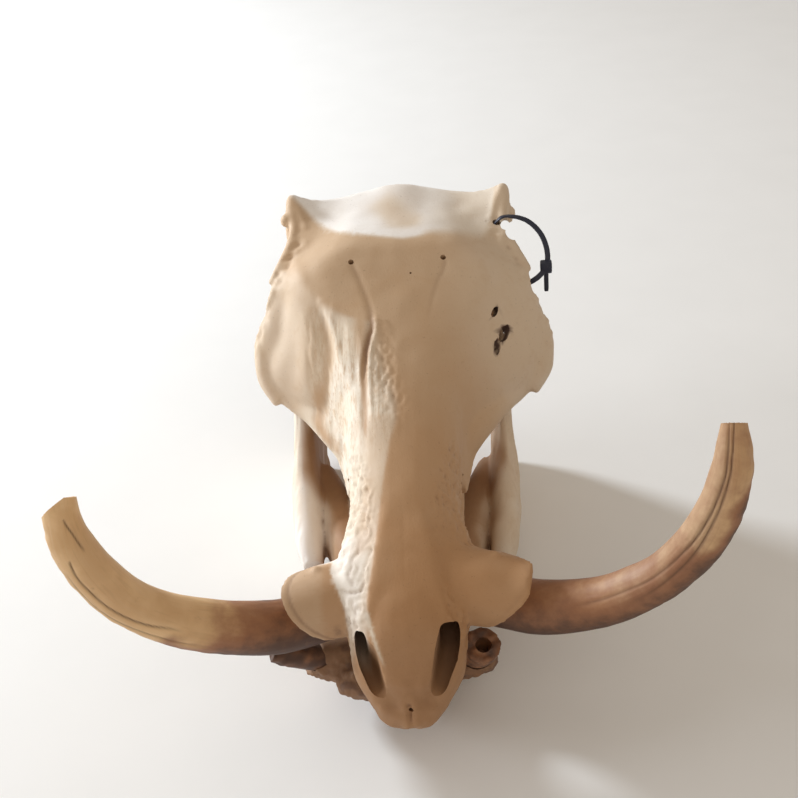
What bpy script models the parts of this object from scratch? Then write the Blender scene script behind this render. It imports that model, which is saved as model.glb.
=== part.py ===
"""A male warthog's skull with its lower jaw, at life size, resting on the underside of the jaw.

The sizes in the tables are millimetres in the skull's own frame: x towards the side, y from the
front of the upper jaw to the back of the head, z up from the plane in which the teeth meet.
lay_down() turns each finished piece into the frame of the floor. The skull looks along -Y, so the
animal's right side is at -X.
"""

import math

import bmesh
import bpy
import numpy as np
from mathutils import Matrix, Vector

MM = 0.001
BOTH_SIDES = (-1, 1)
RIGHT, LEFT = -1, 1

# Where the teeth meet and where the jaw hinges: middle and reach across, span along
BITE_GAP = 0.3
TOOTH_MIDDLE = 33.0
TOOTH_REACH = 17.0
TOOTH_SPAN = (110.0, 250.0)
JOINT_GAP = 0.3
JOINT_LEVEL = 79.0
JOINT_MIDDLE = 66.0
JOINT_REACH = 16.0
JOINT_SPAN = (304.0, 338.0)
HINGE_MIDDLE = 68.0
HINGE_REACH = 25.0
HINGE_SPAN = (298.0, 345.0)

# The sleeves round the upper tusks, and the jaw's place to one side
SOCKET_GAP = 0.35
RIM_SLANT = math.radians(-39)
JAW_SHIFT = -4.0

# The jaw's underside meets the floor at the chin and at both angles
CHIN = (92.0, -52.0)
ANGLE = (288.0, -86.0)
TILT = math.atan2(CHIN[1] - ANGLE[1], ANGLE[0] - CHIN[0])
MIDDLE = (-1.8, 184.8)

# How fine the bones are made
VOXEL = 2.4
SECTION_SIDES = 28
JOIN_ROUNDING = 5
EDGE_ROUNDING = 2
CRANIUM_TRIANGLES = 7000
JAW_TRIANGLES = 3600
TIE_TRIANGLES = 560
TUSK_SIDES = 16
TUSK_STEPS = 2


def clear_scene():
    for obj in list(bpy.data.objects):
        bpy.data.objects.remove(obj)


def material_of(name, colour, roughness):
    material = bpy.data.materials.new(name)
    material.use_nodes = True
    shader = material.node_tree.nodes["Principled BSDF"]
    shader.inputs["Base Color"].default_value = (*colour, 1.0)
    shader.inputs["Roughness"].default_value = roughness
    shader.inputs["Metallic"].default_value = 0.0
    return material


# Closed pieces in one bmesh, which fuse() then joins


def smooth_rows(rows, steps):
    """Catmull-Rom points through the rows, with this many steps between two rows."""
    rows = np.array(rows, float)
    ends = np.concatenate([[2 * rows[0] - rows[1]], rows, [2 * rows[-1] - rows[-2]]])
    out = []
    for a, b, c, d in zip(ends, ends[1:], ends[2:], ends[3:]):
        for t in np.arange(steps) / steps:
            out.append(
                0.5 * (2 * b + (c - a) * t + (2 * a - 5 * b + 4 * c - d) * t**2
                       + (3 * b - a - 3 * c + d) * t**3)
            )
    out.append(rows[-1])
    return np.array(out)


def add_tube(bm, rows, up=(0, 0, 1), square=0.0, steps=3, sides=SECTION_SIDES):
    """A closed tube through rows of (x, y, z, half width, reach up, reach down)."""
    points = smooth_rows(rows, steps)
    centres = [Vector(p[:3]) for p in points]
    faces_before = set(bm.faces)
    loops = []
    for i, (centre, row) in enumerate(zip(centres, points)):
        along = (centres[min(i + 1, len(centres) - 1)] - centres[max(i - 1, 0)]).normalized()
        side = along.cross(Vector(up)).normalized()
        rise = side.cross(along)
        ring = bmesh.ops.create_circle(bm, segments=sides, radius=1.0)["verts"]
        for v in ring:
            across = math.copysign(abs(v.co.x) ** (1 - square), v.co.x)
            upward = math.copysign(abs(v.co.y) ** (1 - square), v.co.y)
            reach = row[4] if upward > 0 else row[5]
            v.co = (centre + side * across * row[3] + rise * upward * reach) * MM
        loops.append(list({e for v in ring for e in v.link_edges}))
    for near, far in zip(loops, loops[1:]):
        bmesh.ops.bridge_loops(bm, edges=near + far)
    for end in (loops[0], loops[-1]):
        bmesh.ops.edgeloop_fill(bm, edges=end)
    made = [f for f in bm.faces if f not in faces_before]
    bmesh.ops.recalc_face_normals(bm, faces=made)


def add_rod(bm, rows, **options):
    """A tube of round section through rows of (x, y, z, radius)."""
    add_tube(bm, [(*r[:3], r[3], r[3], r[3]) for r in rows], **options)


def add_ball(bm, centre, radii, turn=(0, 0, 0)):
    """A closed ellipsoid with these radii, turned by degrees about x, y and z."""
    spin = Matrix.Identity(4)
    for degrees, axis in zip(turn, "XYZ"):
        spin = Matrix.Rotation(math.radians(degrees), 4, axis) @ spin
    size = Matrix.Diagonal((*[r * MM for r in radii], 1))
    place = Matrix.Translation(Vector(centre) * MM) @ spin @ size
    bmesh.ops.create_icosphere(bm, subdivisions=3, radius=1.0, matrix=place)


def add_plate(bm, half_rows, thickness, steps=4):
    """A closed plate, the same on both sides, under rows of points from the middle outwards."""
    grid = [smooth_rows([(-x, y, z) for x, y, z in row[:0:-1]] + list(row), steps) for row in half_rows]
    grid = smooth_rows(grid, steps)
    rows, columns = grid.shape[:2]
    made = bmesh.ops.create_grid(bm, x_segments=columns - 1, y_segments=rows - 1, size=1.0)["verts"]
    for v, point in zip(made, grid.reshape(-1, 3)):
        v.co = Vector(point) * MM
    top = list({f for v in made for f in v.link_faces})
    bmesh.ops.recalc_face_normals(bm, faces=top)
    if sum(f.normal.z for f in top) < 0:
        bmesh.ops.reverse_faces(bm, faces=top)
    for v in made:
        v.normal_update()
    inward = {tuple(v.co): -v.normal.copy() for v in made}
    lower = bmesh.ops.duplicate(bm, geom=top)
    faces = [g for g in lower["geom"] if isinstance(g, bmesh.types.BMFace)]
    verts = [g for g in lower["geom"] if isinstance(g, bmesh.types.BMVert)]
    bmesh.ops.reverse_faces(bm, faces=faces)
    for v in verts:
        v.co += inward[tuple(v.co)] * thickness * MM
    rims = [e for v in made + verts for e in v.link_edges if e.is_boundary]
    bmesh.ops.bridge_loops(bm, edges=list(set(rims)))
    whole = list({f for v in made + verts for f in v.link_faces})
    bmesh.ops.recalc_face_normals(bm, faces=whole)


def mirrored(rows, side):
    return [(side * r[0], *r[1:]) for r in rows]


def object_of(bm, name):
    mesh = bpy.data.meshes.new(name)
    bm.to_mesh(mesh)
    bm.free()
    obj = bpy.data.objects.new(name, mesh)
    bpy.context.scene.collection.objects.link(obj)
    return obj


def settle(obj):
    """Applies the object's modifiers to its mesh."""
    bpy.context.view_layer.update()
    graph = bpy.context.evaluated_depsgraph_get()
    made = bpy.data.meshes.new_from_object(obj.evaluated_get(graph))
    obj.modifiers.clear()
    obj.data = made


def fuse(obj):
    """Joins the overlapping pieces of one mesh and rounds where they join."""
    remesh = obj.modifiers.new("Fuse", "REMESH")
    remesh.mode = "VOXEL"
    remesh.voxel_size = VOXEL * MM
    soften(obj, JOIN_ROUNDING)


def soften(obj, rounds):
    smooth = obj.modifiers.new("Soften", "SMOOTH")
    smooth.factor = 0.5
    smooth.iterations = rounds
    settle(obj)


def cut(obj, bm):
    """Takes the closed pieces in a bmesh away from the object."""
    cutter = object_of(bm, "cutter")
    boolean = obj.modifiers.new("Cut", "BOOLEAN")
    boolean.operation = "DIFFERENCE"
    boolean.solver = "EXACT"
    boolean.object = cutter
    settle(obj)
    bpy.data.objects.remove(cutter)


def box_between(low, high):
    bm = bmesh.new()
    size = Vector(high) - Vector(low)
    middle = (Vector(high) + Vector(low)) / 2
    place = Matrix.Translation(middle * MM) @ Matrix.Diagonal((*(size * MM), 1))
    bmesh.ops.create_cube(bm, size=1.0, matrix=place)
    return bm


def slab(middle, reach, span, low, high):
    """A box over part of one side of the skull, from one level to another."""
    return box_between((middle - reach, span[0], low), (middle + reach, span[1], high))


def thin_out(obj, triangles):
    obj.data.calc_loop_triangles()
    decimate = obj.modifiers.new("Thin out", "DECIMATE")
    decimate.ratio = triangles / len(obj.data.loop_triangles)
    settle(obj)


def mend(obj):
    """Closes what thinning left open and drops every closed surface but the largest."""
    bm = bmesh.new()
    bm.from_mesh(obj.data)
    bmesh.ops.remove_doubles(bm, verts=bm.verts, dist=1e-6)
    bmesh.ops.dissolve_degenerate(bm, dist=1e-6, edges=bm.edges)
    for _ in range(4):
        faulty = [e for e in bm.edges if len(e.link_faces) != 2]
        if not faulty:
            break
        torn = {f for e in faulty for f in e.link_faces}
        bmesh.ops.delete(bm, geom=list(torn), context="FACES")
        rims = [e for e in bm.edges if e.is_boundary]
        patches = bmesh.ops.holes_fill(bm, edges=rims, sides=0)["faces"]
        bmesh.ops.triangulate(bm, faces=patches)
    left = set(bm.verts)
    groups = []
    while left:
        group = {left.pop()}
        edge = set(group)
        while edge:
            edge = {e.other_vert(v) for v in edge for e in v.link_edges} - group
            group |= edge
        left -= group
        groups.append(group)
    largest = max(groups, key=len)
    bmesh.ops.delete(bm, geom=[v for v in bm.verts if v not in largest], context="VERTS")
    bmesh.ops.recalc_face_normals(bm, faces=bm.faces)
    bm.to_mesh(obj.data)
    bm.free()


def lay_down(obj):
    """Turns a piece from the skull's own frame into the frame of the floor."""
    level = CHIN[0] * math.sin(TILT) + CHIN[1] * math.cos(TILT)
    shift = Matrix.Translation(-Vector((*MIDDLE, level)) * MM)
    obj.data.transform(shift @ Matrix.Rotation(TILT, 4, "X"))


# The cranium


def add_rostrum(bm):
    """Premaxilla, maxilla and nasal bones as one block from the front to between the orbits."""
    add_tube(bm, [
        (0, 0, 15, 9, 6, 5),
        (0, 6, 17, 15, 14, 9),
        (0, 18, 20, 23.5, 24, 12),
        (0, 34, 25, 33, 31, 16),
        (0, 52, 30, 35, 36, 19),
        (0, 80, 36, 36, 38, 23),
        (0, 110, 42, 34, 40, 28),
        (0, 140, 47, 34, 44, 33),
        (0, 170, 54, 37, 45, 40),
        (0, 205, 62, 40, 47, 47),
        (0, 240, 74, 44, 46, 52),
        (0, 275, 88, 46, 43, 48),
        (0, 300, 92, 44, 46, 44),
    ], square=0.34)


def add_face(bm):
    """The broad face from the muzzle over the brows and cheeks back to the crest."""
    add_plate(bm, [
        [(0, 168, 98), (12, 168, 97), (24, 168, 91), (33, 169, 74), (37, 170, 50), (40, 171, 28)],
        [(0, 200, 109), (16, 200, 107.5), (29, 200, 99), (38, 200, 80), (43, 200, 58), (48, 200, 37)],
        [(0, 222, 116), (22, 222, 114), (38, 222, 104), (48, 222, 86), (55, 223, 66), (62, 226, 48)],
        [(0, 240, 122), (28, 240, 119), (47, 240, 109), (61, 240, 91), (73, 240, 71), (84, 241, 52)],
        [(0, 257, 127), (36, 257, 123), (59, 257, 113), (77, 257, 95), (91, 257, 76), (101, 259, 57)],
        [(0, 275, 133), (42, 275, 129), (67, 275, 119), (86, 275, 105), (98, 275, 91), (105.5, 275, 74)],
        [(0, 289, 138), (36, 289, 136), (60, 289, 129), (74, 289, 122), (83, 289, 117), (91, 288, 112)],
        [(0, 303, 142), (34, 303, 140), (56, 303, 134), (68, 303, 127), (76, 303, 123), (82, 302, 120)],
        [(0, 323, 141), (28, 323, 140), (47, 323, 138), (59, 323, 135.5), (65, 323, 134), (69.5, 323, 132)],
        [(0, 345, 137), (24, 345, 136), (44, 345, 134), (56, 345, 133), (63, 345, 132), (68, 345, 131)],
        [(0, 377, 136), (24, 374, 133), (46, 371, 131), (60, 370, 132), (69, 369, 135), (77, 368, 138)],
    ], thickness=7.5)


def add_arch(bm, side):
    """The zygomatic arch from the cheek back and up to its root beside the crest."""
    add_tube(bm, mirrored([
        (84, 250, 50, 10, 6, 10),
        (95, 264, 62, 9.5, 10, 17),
        (96, 280, 69, 8.5, 18, 22),
        (94.5, 298, 62, 7.5, 14, 20),
        (90, 316, 67, 6.5, 13, 18),
        (85, 333, 84, 6.5, 12, 15),
        (80, 347, 102, 7, 12, 15),
        (76, 358, 114, 7, 12, 18),
        (66, 366, 118, 8, 12, 22),
    ], side))


def add_cheek_root(bm, side):
    """What carries the cheek from below: the root of the arch over the last teeth."""
    add_tube(bm, mirrored([
        (30, 198, 44, 14, 22, 18),
        (44, 216, 50, 15, 18, 18),
        (60, 232, 53, 14, 12, 14),
        (77, 247, 54, 12, 8, 12),
        (90, 260, 60, 9, 8, 13),
    ], side))


def add_orbit_bar(bm, side):
    """The bar behind the orbit, from the forehead down to the arch."""
    add_tube(bm, mirrored([
        (64, 321, 130, 5, 8, 8),
        (73, 322, 119, 4.5, 6.5, 6.5),
        (80, 322, 106, 4.5, 6, 6),
        (86, 320, 90, 5.5, 8, 8),
    ], side), up=(0, 1, 0))


def add_braincase(bm):
    add_tube(bm, [
        (0, 275, 88, 40, 38, 42),
        (0, 300, 92, 38, 40, 44),
        (0, 325, 92, 40, 38, 46),
        (0, 350, 90, 44, 38, 46),
        (0, 370, 88, 44, 40, 44),
    ], square=0.1)


def add_crest(bm):
    """The crest across the back of the head and the plate of the occiput below it."""
    add_tube(bm, [
        (-78, 366, 127, 5, 9, 14),
        (-62, 370, 121, 6, 9, 18),
        (-36, 374, 120, 7, 10, 22),
        (0, 377, 124, 8, 11, 24),
        (36, 374, 120, 7, 10, 22),
        (62, 370, 121, 6, 9, 18),
        (78, 366, 127, 5, 9, 14),
    ])
    add_tube(bm, [
        (0, 372, 128, 66, 6, 8),
        (0, 369, 108, 62, 8, 10),
        (0, 367, 84, 50, 12, 12),
        (0, 368, 62, 38, 14, 14),
        (0, 366, 44, 22, 12, 12),
    ], up=(0, 1, 0), square=0.2)


def add_condyle(bm, side):
    """The occipital condyle and the long process beside it."""
    add_ball(bm, (side * 17, 377, 54), (10, 13, 15), (-25, side * 25, 0))
    add_tube(bm, mirrored([
        (48, 360, 86, 13, 9, 9),
        (45, 358, 60, 9, 7, 7),
        (41, 356, 36, 7, 5, 5),
        (38, 352, 14, 4, 3.5, 3.5),
    ], side), up=(0, 1, 0))


def add_ear_root(bm, side):
    """The squamosal: the wall over the ear and the plate of the jaw joint."""
    add_tube(bm, mirrored([
        (38, 348, 96, 18, 18, 18),
        (58, 352, 98, 15, 14, 16),
        (74, 354, 104, 10, 11, 12),
    ], side))
    add_tube(bm, mirrored([
        (36, 330, 90, 14, 12, 14),
        (56, 328, 89, 13, 9, 12),
        (74, 328, 90, 12, 8, 12),
        (84, 330, 92, 9, 8, 10),
    ], side), square=0.2)


def add_base(bm):
    """The base of the braincase, with the wings of the pterygoids and the ear bullae."""
    add_tube(bm, [
        (0, 225, 46, 22, 16, 10),
        (0, 270, 54, 20, 16, 8),
        (0, 320, 54, 18, 14, 8),
        (0, 368, 52, 18, 14, 8),
    ])
    for side in BOTH_SIDES:
        add_tube(bm, mirrored([
            (25, 222, 32, 5, 24, 12),
            (23, 245, 38, 4, 26, 20),
            (20, 264, 44, 4, 22, 20),
        ], side))
        add_ball(bm, (side * 25, 336, 46), (8, 10, 18), (12, 0, 0))


def add_sheath(bm, side):
    """The bony sleeve round the root of the upper tusk, flared out to the side."""
    lift = 3.5 * side
    add_tube(bm, mirrored([
        (12, 88, 42, 22, 22, 18),
        (32, 84, 43 + lift, 25, 24, 18),
        (48, 79, 43 + lift, 25, 24, 18),
        (64, 75, 42.5 + lift, 23.5, 22.5, 17),
        (78, 72, 42.5 + 1.5 * lift, 22, 22, 14),
    ], side))


def add_upper_teeth(bm, side):
    reach = 11
    add_tube(bm, mirrored([
        (27, 140, 8, 6, 8, reach),
        (28, 185, 8, 7, 8, reach),
        (30, 236, 8, 7.5, 8, reach),
    ], side), square=0.6)


def nares():
    """The two openings of the nose."""
    bm = bmesh.new()
    for side in BOTH_SIDES:
        add_tube(bm, mirrored([
            (25, 56, 46, 3.5, 12, 6),
            (25.8, 49, 44, 6.2, 22, 10),
            (24.6, 41, 40, 7.2, 24, 12),
            (22, 31, 35, 6.6, 24, 12),
            (18.5, 21, 32, 5, 24, 9),
            (15, 13, 34, 2.8, 18, 6),
        ], side), square=0.4, sides=20)
    return bm


def sleeve_end(side):
    """What lies beyond the slanting rim of the sleeve, which reaches furthest at the top."""
    bm = bmesh.new()
    turn = Matrix.Rotation(-side * RIM_SLANT, 4, "Y")
    middle = Matrix.Translation(Vector((side * 63, 75, 46 + 3.5 * side)) * MM)
    aside = Matrix.Translation(Vector((side * 30, 0, 0)) * MM)
    size = Matrix.Diagonal((60 * MM, 90 * MM, 66 * MM, 1))
    bmesh.ops.create_cube(bm, size=1.0, matrix=middle @ turn @ aside @ size)
    return bm


def orbit(side):
    bm = bmesh.new()
    add_ball(bm, (side * 88, 301, 94), (30, 17, 19))
    return bm


def socket(rows):
    """The first part of a tusk with the gap round it, a little deeper than its root."""
    bm = bmesh.new()
    root, nearest = Vector(rows[0][:3]), Vector(rows[1][:3])
    deeper = root + (root - nearest).normalized() * SOCKET_GAP * 2
    rows = [(*deeper, rows[0][3]), *rows[1:]]
    wider = [(x, y, z, r + SOCKET_GAP) for x, y, z, r in rows]
    add_rod(bm, wider, steps=TUSK_STEPS, sides=TUSK_SIDES * 2)
    return bm


def back_openings():
    """The foramen magnum, the back of the nose and the ear openings."""
    bm = bmesh.new()
    add_tube(bm, [
        (0, 350, 68, 9, 8, 7),
        (0, 372, 64, 12, 11, 9),
        (0, 396, 62, 13, 12, 10),
    ], sides=16)
    add_tube(bm, [
        (0, 216, 34, 9, 9, 9),
        (0, 236, 32, 13, 13, 12),
        (0, 262, 22, 14, 16, 20),
    ], sides=16)
    return bm


def cranium():
    bm = bmesh.new()
    add_rostrum(bm)
    add_face(bm)
    add_braincase(bm)
    add_crest(bm)
    add_base(bm)
    for side in BOTH_SIDES:
        add_cheek_root(bm, side)
        add_arch(bm, side)
        add_orbit_bar(bm, side)
        add_condyle(bm, side)
        add_ear_root(bm, side)
        add_sheath(bm, side)
        add_upper_teeth(bm, side)
    obj = object_of(bm, "cranium")
    fuse(obj)
    cut(obj, nares())
    cut(obj, back_openings())
    for side in BOTH_SIDES:
        cut(obj, orbit(side))
        cut(obj, sleeve_end(side))
    soften(obj, EDGE_ROUNDING)
    thin_out(obj, CRANIUM_TRIANGLES)
    mend(obj)
    for side in BOTH_SIDES:
        cut(obj, slab(side * TOOTH_MIDDLE, TOOTH_REACH, TOOTH_SPAN, -30, BITE_GAP / 2))
        cut(obj, slab(side * JOINT_MIDDLE, JOINT_REACH, JOINT_SPAN, 60, JOINT_LEVEL + JOINT_GAP / 2))
        cut(obj, socket(UPPER_TUSK[side]))
    mend(obj)
    return obj


# The lower jaw


def jaw():
    bm = bmesh.new()
    add_tube(bm, [
        (0, 28, -5, 13, 4, 5),
        (0, 44, -13, 21, 8, 10),
        (0, 64, -21, 28, 12, 18),
        (0, 88, -30, 25, 13, 20),
        (0, 110, -36, 14, 9, 13),
    ], square=0.2)
    for side in BOTH_SIDES:
        add_tube(bm, mirrored([
            (16, 74, -29, 13, 12, 20),
            (25, 102, -30, 12, 22, 21),
            (31, 130, -30, 12, 27, 24),
            (37, 160, -31, 14, 27, 28),
            (45, 190, -33, 16, 24, 31),
            (55, 220, -34, 15, 20, 35),
            (64, 245, -34, 12, 20, 40),
        ], side), square=0.15)
        add_tube(bm, mirrored([
            (66, 162, -30, 7, 8, 22),
            (69, 180, -26, 9.5, 14, 36),
            (71, 205, -22, 10, 18, 44),
            (72, 228, -20, 10, 26, 51),
            (72, 248, -20, 9, 44, 57),
            (72, 266, -20, 8, 66, 62),
            (72, 282, -20, 7, 86, 66.5),
            (71.5, 296, -20, 6, 92, 69),
            (71, 310, -20, 5.5, 86, 69),
            (71, 322, -20, 5, 84, 58),
            (71, 332, -20, 4, 60, 42),
        ], side), square=0.1)
        add_ball(bm, (side * 71, 200, -30), (11, 34, 18), (0, 0, -side * 5))
        add_tube(bm, mirrored([
            (54, 320, 70, 6, 10, 10),
            (63, 319, 71, 8.5, 12, 14),
            (71, 319, 72, 8.5, 12, 18),
            (76, 320, 71, 6, 11, 12),
        ], side))
        add_tube(bm, mirrored([
            (27, 140, -8, 6, 12, 12),
            (28, 185, -8, 7, 12, 12),
            (32, 236, -8, 7.5, 12, 12),
        ], side), square=0.6)
        add_tube(bm, mirrored([
            (5.5, 17, 2.5, 4.5, 2.5, 3),
            (6.5, 30, -2, 5.5, 4, 5),
            (8, 46, -9, 5.5, 6, 8),
        ], side), square=0.2)
        add_tube(bm, mirrored([
            (18, 78, -26, 17, 16, 17),
            (34, 74, -23, 16, 15, 16),
            (46, 71, -20, 14, 13, 13),
        ], side))
        add_ball(bm, (side * 12, CHIN[0] + 2, CHIN[1] + 8.5), (18, 17, 10.5))
        add_ball(bm, (side * 71.5, ANGLE[0] + 12, ANGLE[1] + 6.5), (6.5, 18, 10), (-10, 0, 0))
    obj = object_of(bm, "mandible")
    obj.data.transform(Matrix.Translation((JAW_SHIFT * MM, 0, 0)))
    fuse(obj)
    soften(obj, EDGE_ROUNDING)
    thin_out(obj, JAW_TRIANGLES)
    mend(obj)
    for side in BOTH_SIDES:
        teeth = side * TOOTH_MIDDLE + JAW_SHIFT
        cut(obj, slab(teeth, TOOTH_REACH, TOOTH_SPAN, -BITE_GAP / 2, 30))
        hinge = side * HINGE_MIDDLE + JAW_SHIFT
        cut(obj, slab(hinge, HINGE_REACH, HINGE_SPAN, JOINT_LEVEL - JOINT_GAP / 2, 100))
        cut(obj, socket(LOWER_TUSK[side]))
    lay_down(obj)
    cut(obj, box_between((-150, -300, -60), (150, 300, 0)))
    mend(obj)
    return obj


# The tusks


UPPER_TUSK = {
    RIGHT: [
        (-38, 86, 25, 16.5), (-60, 78, 26, 17), (-81, 70, 29, 17.2), (-107, 61, 43, 16.6),
        (-134, 55, 60, 15.8), (-157, 52, 84, 15.2), (-171, 52, 112, 15), (-178, 54, 136, 14.2),
        (-180.5, 57, 152, 12.5), (-180, 60, 163, 9),
    ],
    LEFT: [
        (38, 86, 34, 16.5), (60, 78, 35, 17), (83, 70, 38, 17.2), (114, 62, 51, 16.6),
        (136, 57, 69, 15.8), (153, 54, 90, 15.2), (167, 53, 118, 15), (174.5, 54, 145, 14.2),
        (177, 58, 168, 12.3), (176.5, 62, 184, 9.6), (176, 65, 196, 5.8),
    ],
}
LOWER_TUSK = {
    RIGHT: [
        (-20, 86, -27, 8.5), (-36, 78, -24, 9), (-50, 71, -17, 9), (-64, 66, -8, 8.6),
        (-79, 63, 1, 7.4), (-93, 62, 9, 5),
    ],
    LEFT: [
        (16, 86, -27, 9), (30, 78, -24, 10), (40, 71, -15, 10.8), (44, 66, -3, 11.4),
        (45.5, 62, 12, 11.6),
    ],
}


def tusk(name, rows):
    bm = bmesh.new()
    add_rod(bm, rows, steps=TUSK_STEPS, sides=TUSK_SIDES)
    obj = object_of(bm, name)
    return obj


def upper_tusk(side, name):
    obj = tusk(name, UPPER_TUSK[side])
    lay_down(obj)
    return obj


def lower_tusk(side, name):
    obj = tusk(name, LOWER_TUSK[side])
    if side == LEFT:
        end = Vector(LOWER_TUSK[side][-1][:3])
        bm = bmesh.new()
        add_rod(bm, [(end.x - 1, end.y + 4, end.z - 12, 3.2), (end.x, end.y + 1, end.z - 4, 4),
                     (end.x, end.y - 2, end.z + 6, 4.6)], sides=14)
        cut(obj, bm)
    lay_down(obj)
    return obj


# The cable tie through the orbit


STRAP_LOOP = [
    (64, 338, 118), (77, 341, 124), (90, 336, 126), (99, 327, 121), (103, 317, 114),
    (102, 308, 109), (94, 301, 104), (83, 302, 99), (72, 310, 98), (64, 323, 105),
]
STRAP_HALF_WIDTH = 1.7
STRAP_THICKNESS = 1.3


def cable_tie():
    """The loop of the tie with its head, and the loose end that hangs from it."""
    bm = bmesh.new()
    loop = [Vector(p) for p in smooth_rows(STRAP_LOOP[-2:] + STRAP_LOOP + STRAP_LOOP[:3], 4)[8:-8]]
    middle = sum(loop, Vector()) / len(loop)
    flat = (loop[0] - middle).cross(loop[len(loop) // 4] - middle).normalized()
    rows = [(*p, STRAP_THICKNESS / 2, STRAP_HALF_WIDTH, STRAP_HALF_WIDTH) for p in loop]
    add_tube(bm, rows, up=flat, sides=8, steps=1, square=0.4)
    head = Vector(STRAP_LOOP[5])
    down = Vector((0.02, 0.35, -0.94))
    add_tube(bm, [(*(head - down * 3.2), 3.2, 2.6, 2.6), (*(head + down * 3.2), 3.2, 2.6, 2.6)],
             up=(0, 1, 0), sides=8, steps=1, square=0.6)
    add_tube(bm, [(*head, 1.4, 0.8, 0.8), (*(head + down * 18), 1.3, 0.7, 0.7)],
             up=(0, 1, 0), sides=8, steps=1, square=0.4)
    obj = object_of(bm, "cable_tie")
    remesh = obj.modifiers.new("Fuse", "REMESH")
    remesh.mode = "VOXEL"
    remesh.voxel_size = 0.6 * MM
    settle(obj)
    thin_out(obj, TIE_TRIANGLES)
    mend(obj)
    lay_down(obj)
    return obj


def main():
    clear_scene()
    bone = material_of("bone", (0.78, 0.68, 0.55), 0.6)
    ivory = material_of("ivory", (0.55, 0.38, 0.20), 0.45)
    nylon = material_of("nylon", (0.01, 0.012, 0.02), 0.4)
    skull = cranium()
    lay_down(skull)
    skull.data.materials.append(bone)
    jaw().data.materials.append(bone)
    for side, word in ((RIGHT, "right"), (LEFT, "left")):
        upper_tusk(side, "upper_tusk_" + word).data.materials.append(ivory)
        lower_tusk(side, "lower_tusk_" + word).data.materials.append(ivory)
    cable_tie().data.materials.append(nylon)


main()
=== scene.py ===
"""The looks of a male warthog's skull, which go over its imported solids.

The bones, teeth, tusks and cable tie are modelled here again, finer than the solids, from the same
sizes. Those are millimetres in the skull's own frame: x towards the animal's left, y from the front
of the upper jaw to the back of the head, z up from the plane in which the teeth meet. lay_down()
turns each finished piece into the frame of the floor.
"""

import math

import bmesh
import bpy
import numpy as np
from mathutils import Matrix, Vector, noise


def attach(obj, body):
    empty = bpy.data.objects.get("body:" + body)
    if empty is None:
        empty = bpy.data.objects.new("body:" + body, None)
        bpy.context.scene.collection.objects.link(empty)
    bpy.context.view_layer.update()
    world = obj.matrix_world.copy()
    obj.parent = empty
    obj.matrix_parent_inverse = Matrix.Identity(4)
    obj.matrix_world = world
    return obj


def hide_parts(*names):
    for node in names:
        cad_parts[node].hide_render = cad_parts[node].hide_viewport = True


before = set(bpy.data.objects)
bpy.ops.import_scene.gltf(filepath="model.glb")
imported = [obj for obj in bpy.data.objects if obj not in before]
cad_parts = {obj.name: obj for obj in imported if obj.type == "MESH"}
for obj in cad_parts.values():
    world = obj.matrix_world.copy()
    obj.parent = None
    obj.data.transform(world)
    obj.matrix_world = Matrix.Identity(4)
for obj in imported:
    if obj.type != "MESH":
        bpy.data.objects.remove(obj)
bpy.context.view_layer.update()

MM = 0.001
RIGHT, LEFT = -1, 1
BOTH_SIDES = (RIGHT, LEFT)
SIDE_NAMES = {RIGHT: "right", LEFT: "left"}

# The gaps between the pieces, where the jaw hinges and how far the jaw sits to one side
BITE_GAP = 0.3
JOINT_GAP = 0.3
JOINT_LEVEL = 79.0
SOCKET_GAP = 0.35
JAW_SHIFT = -4.0

# The jaw's underside meets the floor at the chin and at both angles
CHIN = (92.0, -52.0)
ANGLE = (288.0, -86.0)
TILT = math.atan2(CHIN[1] - ANGLE[1], ANGLE[0] - CHIN[0])
LEVEL = CHIN[0] * math.sin(TILT) + CHIN[1] * math.cos(TILT)
MIDDLE = (-1.8, 184.8)
FLOOR_FROM_SKULL = Matrix.Translation(-Vector((*MIDDLE, LEVEL)) * MM) @ Matrix.Rotation(TILT, 4, "X")

# How fine the pieces are made
VOXEL = 1.35
TOOTH_VOXEL = 0.55
TUSK_VOXEL = 0.6 * VOXEL
SECTION_SIDES = 36
CRANIUM_TRIANGLES = 190000
JAW_TRIANGLES = 130000
TOOTH_ROW_TRIANGLES = 30000
SHARP_ANGLE = math.radians(55)

# The way that the face looks
UPWARD = Vector((0, -0.35, 0.94))


# Shapes


def smooth_rows(rows, steps):
    """Catmull-Rom points through the rows, with this many steps between two rows."""
    rows = np.array(rows, float)
    ends = np.concatenate([[2 * rows[0] - rows[1]], rows, [2 * rows[-1] - rows[-2]]])
    out = []
    for a, b, c, d in zip(ends, ends[1:], ends[2:], ends[3:]):
        for t in np.arange(steps) / steps:
            out.append(
                0.5 * (2 * b + (c - a) * t + (2 * a - 5 * b + 4 * c - d) * t**2
                       + (3 * b - a - 3 * c + d) * t**3)
            )
    out.append(rows[-1])
    return np.array(out)


def once(items):
    """Each item once, in the order in which they come."""
    return list(dict.fromkeys(items))


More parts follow.
